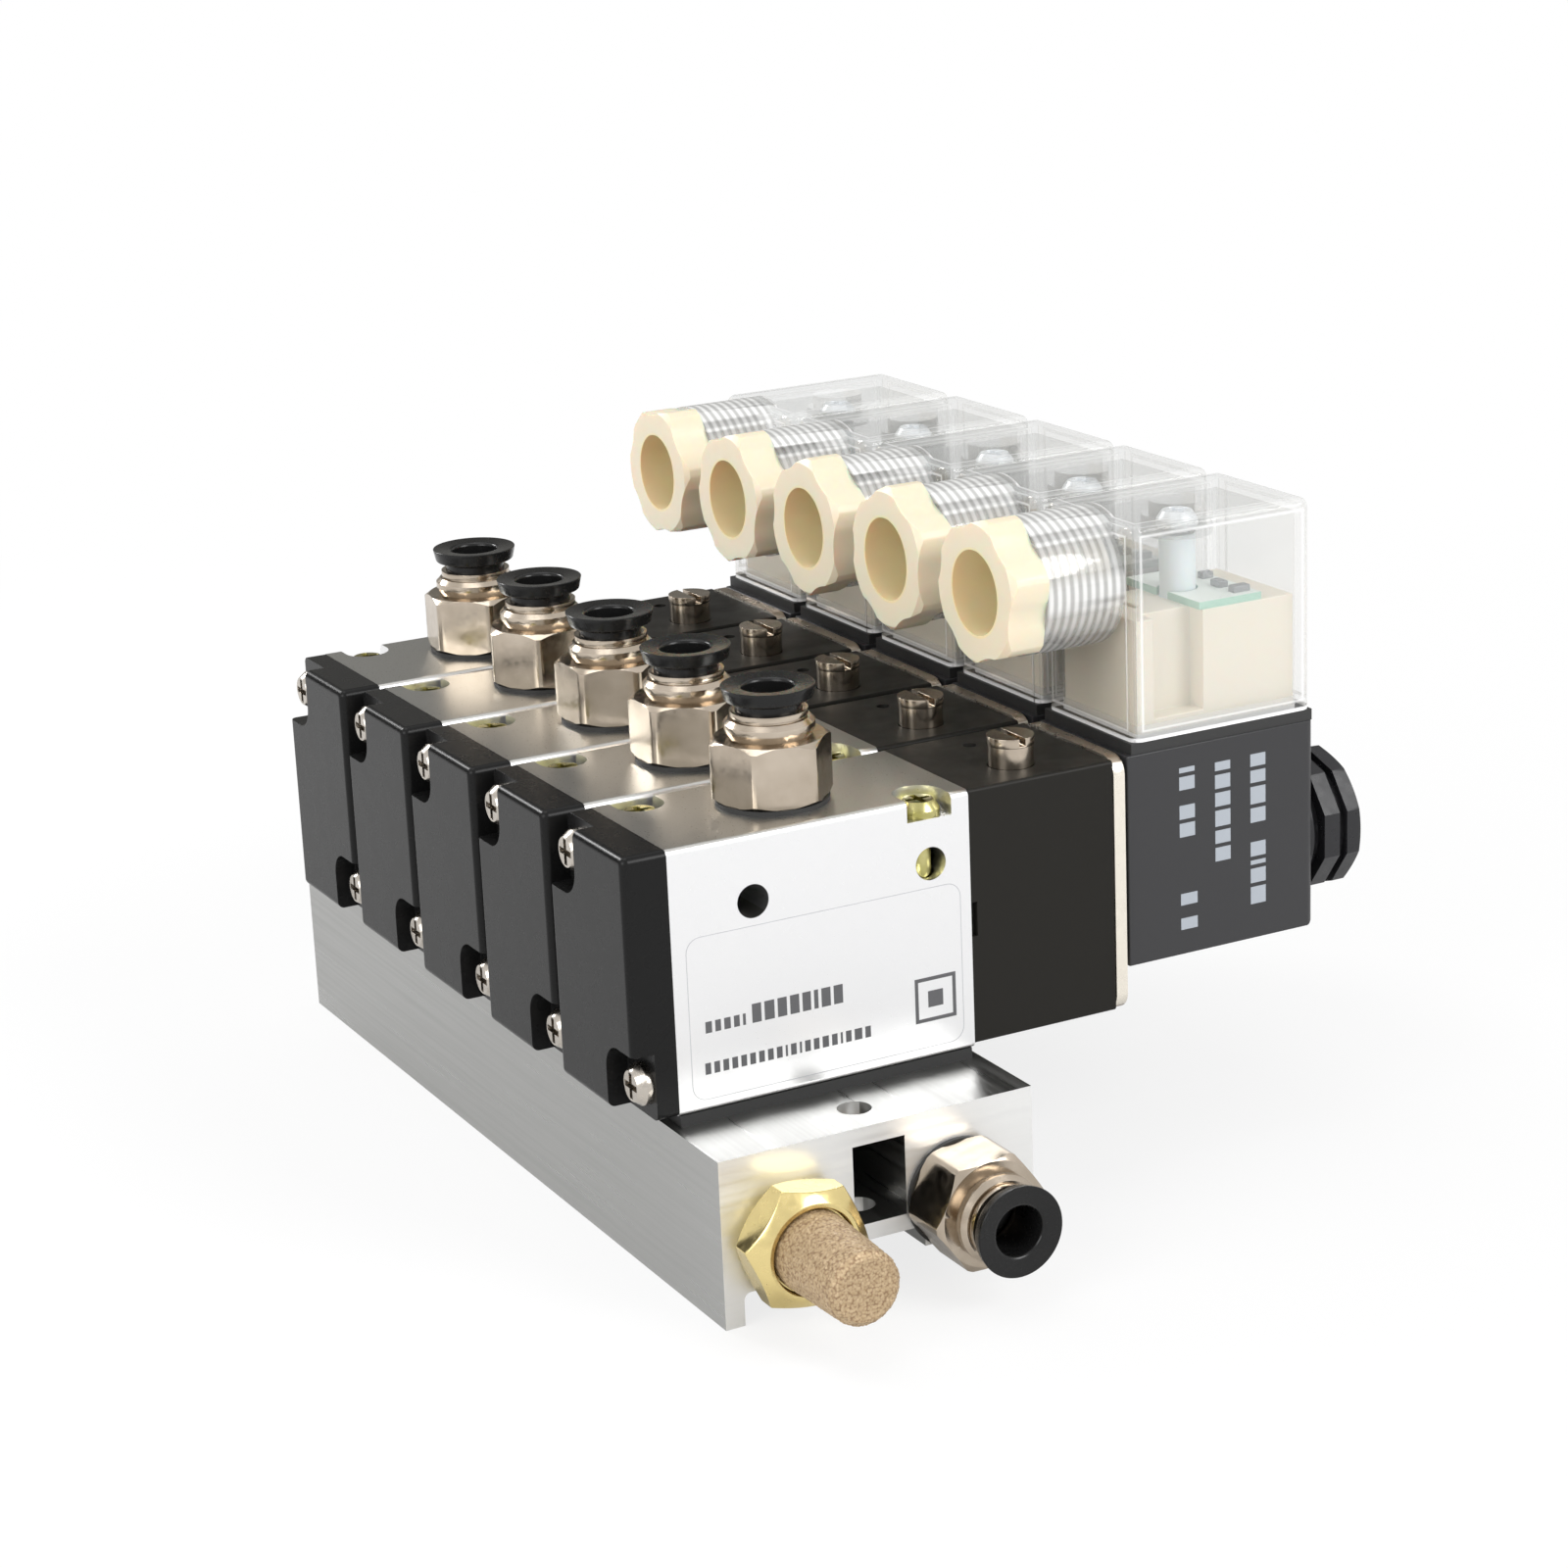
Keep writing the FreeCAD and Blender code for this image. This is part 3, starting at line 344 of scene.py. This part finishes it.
# Spools and armatures: turned parts that slide unseen inside the valves,
# with the ring seals of the override buttons.
turned_metal = Finish("turned spool", (0.72, 0.73, 0.74), 0.28, 1.0)
turned_metal.roughen(0.2, 0.36, 1200, 2, (4, 0.3, 0.3))
plain_steel = Finish("plain steel", (0.58, 0.58, 0.59), 0.3, 1.0)
plain_steel.roughen(0.24, 0.4, 900)
for number in VALVES:
    coat(frame["nodes"]["spool_%d" % number], turned_metal)
    coat(frame["nodes"]["armature_%d" % number], plain_steel)
    coat(frame["nodes"]["override_seal_%d" % number], black_rubber)

# Return springs: wound steel springs, each with one end held in its valve.


def springs_for(node, name):
    """One spring for each valve, split from the CAD node's loose pieces and named by its valve."""
    merged_copy(node, name, 0)
    bpy.ops.object.mode_set(mode="EDIT")
    bpy.ops.mesh.select_all(action="SELECT")
    bpy.ops.mesh.separate(type="LOOSE")
    bpy.ops.object.mode_set(mode="OBJECT")
    for piece in list(bpy.context.selected_objects):
        corners = [Vector(corner) for corner in piece.bound_box]
        middle_y = (corners[0].y + corners[6].y) / 2
        number = round((middle_y - FIRST_VALVE_Y) / PITCH) + 1
        piece.name = "%s_%d" % (name, number)
        stand_for(piece, node, plain_steel)
        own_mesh(piece)


springs_for("spool_springs", "spool_spring")
springs_for("armature_springs", "armature_spring")
springs_for("override_springs", "override_spring")

# End caps: black moulded covers over the spool springs, with a satin skin.
# Each is held by two pan-head screws sunk in opposite corners.
cap_plastic = Finish("end cap plastic", (0.009, 0.009, 0.009), 0.28, Specular_IOR_Level=0.13)
cap_plastic.roughen(0.26, 0.29, 300, 3)
dressed("end_caps", cap_plastic, 0.5 * MM, 3)

# Screws: small pan heads with cross recesses. The cap screws are nickel plated,
# the rail screws yellow-zinc plated.
nickel_screw = Finish("nickel screw", (0.48, 0.44, 0.39), 0.22, 1.0)
nickel_screw.roughen(0.16, 0.32, 1500)
dressed("end_cap_screws", nickel_screw, 0.25 * MM, 3)
zinc_screw = Finish("yellow zinc screw", (0.60, 0.56, 0.30), 0.24, 1.0)
zinc_tint = zinc_screw.spread(zinc_screw.noise(500), 0.0, 1.0)
zinc_screw.feed("Base Color", zinc_screw.blend(zinc_tint, (0.54, 0.50, 0.24), (0.36, 0.33, 0.10)))
dressed("rail_screws", zinc_screw, 0.25 * MM, 3)

# Pilot blocks: black moulded blocks between each valve body and its coil.
# The moulding is matt with a faint brown cast, and an ejector pin left a round mark on each.
pilot_plastic = Finish("pilot block plastic", (0.015, 0.014, 0.012), 0.40, Specular_IOR_Level=0.12)
pilot_plastic.roughen(0.36, 0.48, 260, 3)
pilot_plastic.bump(pilot_plastic.noise(2200), 0.005 * MM, 0.4)
pilots = merged_copy("pilot_blocks", "pilot_blocks_shown")


def cut_with(piece, tool):
    """Cuts a closed tool mesh out of the piece and removes the tool."""
    choose(piece)
    cut = piece.modifiers.new("cut", "BOOLEAN")
    cut.operation, cut.object, cut.solver = "DIFFERENCE", tool, "EXACT"
    bpy.ops.object.modifier_apply(modifier="cut")
    bpy.data.objects.remove(tool)


PIN_X, FIRST_PIN_Y, PIN_TOP = 31.7 * MM, -40.1 * MM, 58.45 * MM
pin_marks = []
for number in VALVES:
    place = (PIN_X, FIRST_PIN_Y + (number - 1) * PITCH, PIN_TOP)
    bpy.ops.mesh.primitive_cylinder_add(vertices=20, radius=0.55 * MM, depth=0.6 * MM, location=place)
    pin_marks.append(bpy.context.object)
cut_with(pilots, joined(pin_marks, "pin_marks"))
stand_for(finish_edges(pilots, 0.15 * MM, 2), "pilot_blocks", pilot_plastic)

# Manual override buttons: turned nickel-plated brass with a screwdriver slot.
# The plating is worn to uneven warm tones, and the push-in fittings share it.
nickel_brass = Finish("nickel-plated brass", (0.50, 0.44, 0.36), 0.20, 1.0)
nickel_brass.roughen(0.14, 0.26, 900, 3)
nickel_tone = nickel_brass.spread(nickel_brass.noise(180, 3), 0.0, 1.0)
nickel_brass.feed("Base Color", nickel_brass.blend(nickel_tone, (0.51, 0.44, 0.36), (0.39, 0.33, 0.26)))
for number in VALVES:
    dressed("override_button_%d" % number, nickel_brass, 0.25 * MM, 3)

# Retainer plates: nickel-plated steel stampings that clamp the armature tubes to the pilots.
# Their colour paints the top edges darker and browner than the faces, as painted shade.
plate_metal = Finish("nickel-plated sheet", (0.80, 0.75, 0.66), 0.30, 1.0)
plate_metal.roughen(0.24, 0.40, 900)
painted_plate_top_shade = plate_metal.blend(plate_metal.facing(2), (0.80, 0.75, 0.66), (0.42, 0.35, 0.28))
plate_metal.feed("Base Color", painted_plate_top_shade)
dressed("retainer_plates", plate_metal, 0.15 * MM, 2, 0)
coat(frame["nodes"]["armature_tubes"], plain_steel)

# Coils: dark grey resin moulded round each winding.
# The flat sides are smooth, with a grain too fine to see from far.
coil_resin = Finish("coil resin", (0.030, 0.030, 0.032), 0.42, Specular_IOR_Level=0.35)
coil_resin.roughen(0.38, 0.46, 300, 3)
coil_resin.bump(coil_resin.noise(3000), 0.004 * MM, 0.3)
for number in VALVES:
    dressed("coil_%d" % number, coil_resin, 0.2 * MM)

# Coil print: columns of plain pale blocks on each coil's side, read from above downwards.
# It is screen-printed on the resin and stands a hair proud of it.
coil_ink = Finish("coil print ink", (0.36, 0.39, 0.43), 0.5)
coil_ink.roughen(0.42, 0.6, 900)
COIL_FACE = -56.7 * MM


def column_of_blocks(x, z, heights, width=2.4, gap=0.55):
    """Blocks of those heights one under the other; a height below 0 leaves that much empty."""
    column = []
    for height in heights:
        z -= abs(height)
        if height > 0:
            column.append((x, z, width, height))
        z -= gap
    return column


columns = column_of_blocks(64.4, 55.4, [1.7, 1.7, 2.4, 2.0, -1.6, 2.0, 0.6, 2.0, 2.4])
columns += column_of_blocks(58.8, 55.3, [1.2, 1.9, 1.9, 2.2, 1.8, 1.9])
columns += column_of_blocks(53.2, 55.5, [0.7, 1.8, -1.0, 1.9, 1.9])
columns += [(53.3, 36.6, 2.6, 1.6), (53.3, 33.2, 2.6, 1.6)]
coil_print = printed_blocks("coil_print_front", COIL_FACE, columns)
one_per_valve(coil_print, "coil_print", coil_ink)

# Coil nuts: black plastic nuts that hold the coils on their armature tubes.
# They have flats for the fingers, a groove round them and a chamfered face.
nut_plastic = Finish("coil nut plastic", (0.014, 0.014, 0.016), 0.28, Specular_IOR_Level=0.35)
nut_plastic.roughen(0.24, 0.38, 700)
dressed("coil_nuts", nut_plastic, 0.25 * MM, 2, 0)

# Connector gaskets: flat black seals between the plugs and the coils,
# of the same rubber as the valve gaskets.
coat(frame["nodes"]["connector_gaskets"], black_rubber)

# Terminal blocks: cream mouldings inside the clear shells, with a pocket sunk in each side.
# The post above the block's top is painted cold and pale: painted light of the clear lid it shows through.
INSERT_TOP = 75.55 * MM
POCKET_X, POCKET_OFF, POCKET_Z = 54.6 * MM, 8.75 * MM, 70.0 * MM
cream_plastic = Finish("terminal block plastic", (0.86, 0.79, 0.62), 0.42, Subsurface_Weight=0.2,
                       Subsurface_Scale=1.5 * MM)
cream_plastic.roughen(0.36, 0.5, 600)
above_block = cream_plastic.along(2) > INSERT_TOP
block_tone_with_painted_lid_light = cream_plastic.blend(above_block, (0.80, 0.74, 0.62), (0.78, 0.85, 0.88))
cream_plastic.feed("Base Color", block_tone_with_painted_lid_light)
blocks = merged_copy("terminal_blocks", "terminal_blocks_shown")
pockets = []
for number in VALVES:
    valve_y = FIRST_VALVE_Y + (number - 1) * PITCH
    for side_y in (valve_y - POCKET_OFF, valve_y + POCKET_OFF):
        pockets.append(cuboid(POCKET_X, side_y, POCKET_Z, 7.6 * MM, 6.0 * MM, 15.6 * MM))
cut_with(blocks, joined(pockets, "pockets"))
stand_for(finish_edges(blocks, 0.3 * MM, 2), "terminal_blocks", cream_plastic)

# Indicator boards: thin green circuit boards on the terminal blocks.
# Light from above washes their tops out to a pale green.
board_green = Finish("circuit board", (0.52, 0.66, 0.56), 0.35)
board_green.roughen(0.28, 0.45, 900)
board_tone = board_green.blend(board_green.facing(2), (0.36, 0.60, 0.48), (0.80, 0.86, 0.81))
board_green.feed("Base Color", board_tone)
coat(frame["nodes"]["led_boards"], board_green)

# Indicator chips: three small grey parts soldered on each board.
# Each is given below by its X, Y, width and depth in mm.
chip_grey = Finish("indicator chips", (0.25, 0.26, 0.27), 0.3, 0.4)
chip_grey.roughen(0.22, 0.4, 900)
CHIP_Z, CHIP_HEIGHT = 76.9 * MM, 1.1 * MM
chips = []
for x, y, wide, deep in ((65.6, -52.6, 2.6, 1.5), (65.0, -48.9, 1.5, 2.2), (66.2, -44.0, 1.8, 1.3)):
    chips.append(cuboid(x * MM, y * MM, CHIP_Z, wide * MM, deep * MM, CHIP_HEIGHT))
front_chips = finish_edges(joined(chips, "chips_front"), 0.2 * MM, 2)
one_per_valve(front_chips, "indicator_chips", chip_grey)

# Connector screws: long steel screws down through each plug.
# Their heads are bright and cold under the clear lids.
bright_screw = Finish("bright steel screw", (0.80, 0.83, 0.86), 0.3, 0.25)
bright_screw.roughen(0.24, 0.38, 900)
dressed("connector_screws", bright_screw, 0.25 * MM, 3)

# Connector shells: clear moulded covers, each with a round threaded boss for the cable gland.
# The material paints the light that the clear plastic bends and reflects: painted pale lines along the outer
# and inner edges, a painted bright foot, the boss's thread as painted light and dark rings along X,
# and a painted warmer tint on the faces that look along X.
SHELL_MIDDLE_X, SHELL_MIDDLE_Z = 60.4 * MM, 74.22 * MM
SHELL_HALF_X, SHELL_HALF_Y, SHELL_HALF_Z = 14.0 * MM, 10.5 * MM, 14.28 * MM
SHELL_FOOT_Z = 60.5 * MM
INNER_EDGE = 1.45 * MM
BOSS_END_X, THREAD_PITCH = 46.2 * MM, 1.25 * MM


def from_middle(finish, reading, middle):
    return finish.maths("ABSOLUTE", reading - middle)


def across_valve(finish):
    """How far a point lies along Y within its own valve's pitch, whose middle is at half a pitch."""
    return finish.maths("MODULO", finish.along(1) + (PITCH / 2 - FIRST_VALVE_Y), PITCH)


clear_plastic = Finish("clear shell plastic", (0.95, 0.96, 0.95), 0.10, 0.10, Alpha=0.2)
inset_x = SHELL_HALF_X - from_middle(clear_plastic, clear_plastic.along(0), SHELL_MIDDLE_X)
inset_y = SHELL_HALF_Y - from_middle(clear_plastic, across_valve(clear_plastic), PITCH / 2)
inset_z = SHELL_HALF_Z - from_middle(clear_plastic, clear_plastic.along(2), SHELL_MIDDLE_Z)
lower = clear_plastic.maths("MINIMUM", inset_x, inset_y)
upper = clear_plastic.maths("MAXIMUM", inset_x, inset_y)
from_edge = clear_plastic.maths("MAXIMUM", lower, clear_plastic.maths("MINIMUM", upper, inset_z))
# Painted light: pale lines along the outer and inner edges and a bright foot.
painted_edge_light = clear_plastic.ramp(from_edge, 0.25 * MM, 0.55 * MM, 1.0, 0.0)
off_inner_edge = from_middle(clear_plastic, from_edge, INNER_EDGE)
painted_wall_light = clear_plastic.ramp(off_inner_edge, 0.05 * MM, 0.35 * MM, 0.4, 0.0)
painted_foot_light = SHELL_FOOT_Z - clear_plastic.along(2) > 0.0
in_boss = BOSS_END_X - clear_plastic.along(0) > 0.0
# Painted glints: the boss's thread drawn as light and dark rings along X.
turns = clear_plastic.maths("SINE", clear_plastic.along(0) * (2 * math.pi / THREAD_PITCH))
painted_thread_glint = clear_plastic.ramp(turns, -0.7, 0.7, 0.15, 1.0)
painted_thread_rings = clear_plastic.blend(painted_thread_glint, (0.42, 0.42, 0.41), (0.82, 0.82, 0.81))
# Painted tint: the faces that look along X are warmer than the others.
painted_face_tint = clear_plastic.blend(clear_plastic.facing(0), (0.68, 0.69, 0.68), (0.66, 0.62, 0.54))
painted_wall_tone = clear_plastic.blend(painted_wall_light + painted_wall_light + painted_foot_light, painted_face_tint, (1.0, 1.0, 1.0))
clear_plastic.feed("Base Color", clear_plastic.blend(in_boss, painted_wall_tone, painted_thread_rings))
rim = clear_plastic.node("ShaderNodeLayerWeight", {}, {"Blend": 0.3}, "Facing")
drawn_lines = painted_edge_light * 0.45 + painted_wall_light + in_boss * 0.3 + painted_foot_light * 0.4
clear_plastic.feed("Alpha", rim * rim * rim * 0.3 + drawn_lines + clear_plastic.facing(2) * 0.1 + 0.16)
clear_plastic.roughen(0.06, 0.14, 500)
dressed("connector_shells", clear_plastic, 0)

# Gland nuts: cream nylon cap nuts, slightly waxy, screwed on the bosses.
# Light that has crossed the nylon turns their bores yellower than their faces.
NUT_AXIS_Z, NUT_BORE_RADIUS = 80.5 * MM, 5.9 * MM
cream_nylon = Finish("gland nut nylon", (0.90, 0.84, 0.68), 0.38, Subsurface_Weight=0.5,
                     Subsurface_Scale=3.0 * MM)
cream_nylon.roughen(0.32, 0.46, 500)
sideways = across_valve(cream_nylon) - PITCH / 2
upward = cream_nylon.along(2) - NUT_AXIS_Z
from_axis = cream_nylon.maths("SQRT", sideways * sideways + upward * upward)
in_bore = NUT_BORE_RADIUS - from_axis > 0.0
nut_tone = cream_nylon.blend(in_bore, (0.74, 0.67, 0.51), (0.78, 0.67, 0.41))
cream_nylon.feed("Base Color", nut_tone)
dressed("gland_nuts", cream_nylon, 0.4 * MM, 3, 0)

# Gland grommets: soft tan rubber sleeves that grip the cable inside the nuts.
# They are moulded, so their surface is dull and even.
tan_rubber = Finish("grommet rubber", (0.50, 0.42, 0.22), 0.55)
tan_rubber.roughen(0.48, 0.62, 900)
coat(frame["nodes"]["gland_grommets"], tan_rubber)

# Push-in fittings: nickel-plated brass bodies, turned from hexagon bar, on black seal washers.
# A ring seal in each grips the tube.
dressed("fitting_bodies", nickel_brass, 0.2 * MM, 2, 0)
coat(frame["nodes"]["seal_washers"], black_rubber)
coat(frame["nodes"]["tube_seals"], black_rubber)

# Release collets: black moulded rings that free the tube when pressed.
# Each has a sleeve in its fitting and a smooth, slightly glossy flange.
collet_plastic = Finish("release collet plastic", (0.009, 0.009, 0.009), 0.24, Specular_IOR_Level=0.25)
collet_plastic.roughen(0.18, 0.30, 900)
for node in ["collet_%d" % number for number in VALVES] + ["supply_collet"]:
    dressed(node, collet_plastic, 0.2 * MM, 3)

# Silencer: a bright brass hexagon with a porous bronze element pressed into it.
# The element is remeshed finely and dented between its sintered grains, and its pores get painted shade.
bright_brass = Finish("bright brass", (0.70, 0.57, 0.26), 0.22, 1.0)
bright_brass.roughen(0.16, 0.30, 900)
dressed("silencer_base", bright_brass, 0.3 * MM, 3)
GRAIN = 0.36 * MM
element = merged_copy("silencer_element", "silencer_grains")
fine = element.modifiers.new("fine", "REMESH")
fine.mode, fine.voxel_size = "VOXEL", 0.15 * MM
bpy.ops.object.modifier_apply(modifier="fine")
grain = bpy.data.textures.new("grain", "VORONOI")
grain.noise_scale = GRAIN
relief = element.modifiers.new("relief", "DISPLACE")
relief.texture, relief.texture_coords = grain, "LOCAL"
relief.strength, relief.mid_level = -0.2 * MM, 0.0
bpy.ops.object.modifier_apply(modifier="relief")
bpy.ops.object.shade_smooth()
sintered = Finish("sintered bronze", (0.82, 0.62, 0.42), 0.5, 0.25)
cells = sintered.node("ShaderNodeTexVoronoi", {}, {"Vector": sintered.place(), "Scale": 1 / GRAIN})
# Painted shade: the gaps between the grains are darkened to near black.
painted_pore_shade = sintered.ramp(cells, 0.45, 0.8, 0.0, 0.7)
grain_shade = sintered.spread(sintered.noise(1800), 0, 1)
grain_tone = sintered.blend(grain_shade, (0.52, 0.39, 0.24), (0.38, 0.27, 0.15))
sintered.feed("Base Color", sintered.blend(painted_pore_shade, grain_tone, (0.17, 0.09, 0.04)))
sintered.roughen(0.42, 0.62, 1500)
stand_for(element, "silencer_element", sintered)

# Studio: a pale floor and a room that show as white paper to the camera, two cards behind the
# island that only its metal mirrors, four soft lamps, and the camera at the photograph's angle.
floor_paint = Finish("studio floor", (0.80, 0.80, 0.80), 0.9)
bpy.ops.mesh.primitive_plane_add(size=12, location=(0, 0, -0.02 * MM))
floor = bpy.context.object
floor.name = "studio_floor"
coat(floor, floor_paint)


def ray_kind(finish, name):
    path = finish.tree.nodes.new("ShaderNodeLightPath")
    return Signal(finish, path.outputs[name])


def show(finish, shader):
    """Puts another shader in place of the finish's own."""
    finish.tree.links.new(shader.socket, finish.tree.nodes["Material Output"].inputs["Surface"])


here = floor_paint.node("ShaderNodeTexCoord", {}, {}, "Object")
reach = floor_paint.node("ShaderNodeVectorMath", {"operation": "LENGTH"}, {0: here}, "Value")
seen_straight = ray_kind(floor_paint, "Is Camera Ray") + ray_kind(floor_paint, "Is Transmission Ray")
paper_share = seen_straight * floor_paint.ramp(reach, 0.12, 0.4, 0.8, 1.0)
paper_share = paper_share + ray_kind(floor_paint, "Is Glossy Ray") * 0.25
paper = floor_paint.node("ShaderNodeEmission", {}, {"Color": (1, 1, 1, 1), "Strength": 1.0})
lit_floor = Signal(floor_paint, floor_paint.shader.outputs[0])
show(floor_paint, floor_paint.node("ShaderNodeMixShader", {}, {0: paper_share, 1: lit_floor, 2: paper}))


def mirrored_card(name, place, turn, size, low_tone, high_tone):
    """A card that only the glossy surfaces see, its brightness running from its foot to its top."""
    paint = Finish(name, (0.2, 0.2, 0.2), 0.9)
    low, high = [(tone, 0.98 * tone, 0.92 * tone) for tone in (low_tone, high_tone)]
    glow = paint.blend(paint.ramp(paint.along(2), 0.15, 0.5), low, high)
    show(paint, paint.node("ShaderNodeEmission", {}, {"Color": glow, "Strength": 1.0}))
    bpy.ops.mesh.primitive_plane_add(size=1, location=place, rotation=(math.radians(90), 0, math.radians(turn)))
    card = bpy.context.object
    card.name, card.scale = name, (*size, 1)
    bpy.ops.object.transform_apply(location=True, rotation=True, scale=True)
    coat(card, paint)
    card.visible_camera = card.visible_diffuse = False
    card.visible_shadow = card.visible_transmission = False


mirrored_card("grey_card", (0.42, 0.80, 0.48), -27, (1.1, 0.94), 0.34, 0.12)
mirrored_card("dark_card", (-0.62, 1.00, 0.38), 30, (1.0, 0.74), 0.05, 0.08)

world = bpy.data.worlds.new("studio")
bpy.context.scene.world = world
world.use_nodes = True
sky = world.node_tree
room_light, white_room = sky.nodes["Background"], sky.nodes.new("ShaderNodeBackground")
for background, strength in ((room_light, 0.5), (white_room, 1.0)):
    background.inputs["Color"].default_value = (1, 1, 1, 1)
    background.inputs["Strength"].default_value = strength
ray = sky.nodes.new("ShaderNodeLightPath")
straight = sky.nodes.new("ShaderNodeMath")
either = sky.nodes.new("ShaderNodeMath")
seen = sky.nodes.new("ShaderNodeMixShader")
sky.links.new(ray.outputs["Is Camera Ray"], straight.inputs[0])
sky.links.new(ray.outputs["Is Transmission Ray"], straight.inputs[1])
sky.links.new(straight.outputs[0], either.inputs[0])
sky.links.new(ray.outputs["Is Glossy Ray"], either.inputs[1])
sky.links.new(either.outputs[0], seen.inputs[0])
sky.links.new(room_light.outputs[0], seen.inputs[1])
sky.links.new(white_room.outputs[0], seen.inputs[2])
sky.links.new(seen.outputs[0], sky.nodes["World Output"].inputs["Surface"])


def soft_lamp(name, place, size, power):
    """A round lamp that looks at the middle of the island."""
    light = bpy.data.lights.new(name, "AREA")
    light.shape, light.size, light.energy = "DISK", size, power
    lamp = bpy.data.objects.new(name, light)
    bpy.context.scene.collection.objects.link(lamp)
    lamp.location = place
    lamp.rotation_euler = (Vector((0.02, 0, 0.04)) - lamp.location).to_track_quat("-Z", "Y").to_euler()


soft_lamp("key_lamp", Vector((0.50, -0.80, 0.62)), 0.6, 7.5)
soft_lamp("top_lamp", Vector((-0.1, 0.1, 1.1)), 0.7, 2.5)
soft_lamp("fill_lamp", Vector((-0.75, -0.30, 0.45)), 0.6, 4.0)
soft_lamp("edge_lamp", Vector((-0.34, 0.92, 0.62)), 0.3, 5.0)

camera = bpy.data.objects.new("camera", bpy.data.cameras.new("camera"))
bpy.context.scene.collection.objects.link(camera)
right, up = (0.88188, -0.46965, -0.04152), (0.1729, 0.2402, 0.9552)
back = (-0.43864, -0.84956, 0.29299)
camera_place = Matrix.Translation((-0.19987, -0.43486, 0.19428))
camera.matrix_world = camera_place @ Matrix((right, up, back)).transposed().to_4x4()
camera.data.lens = 83.57
camera.data.sensor_width = 36
camera.data.clip_start = 0.01
bpy.context.scene.camera = camera
bpy.context.scene.view_settings.view_transform = "Standard"
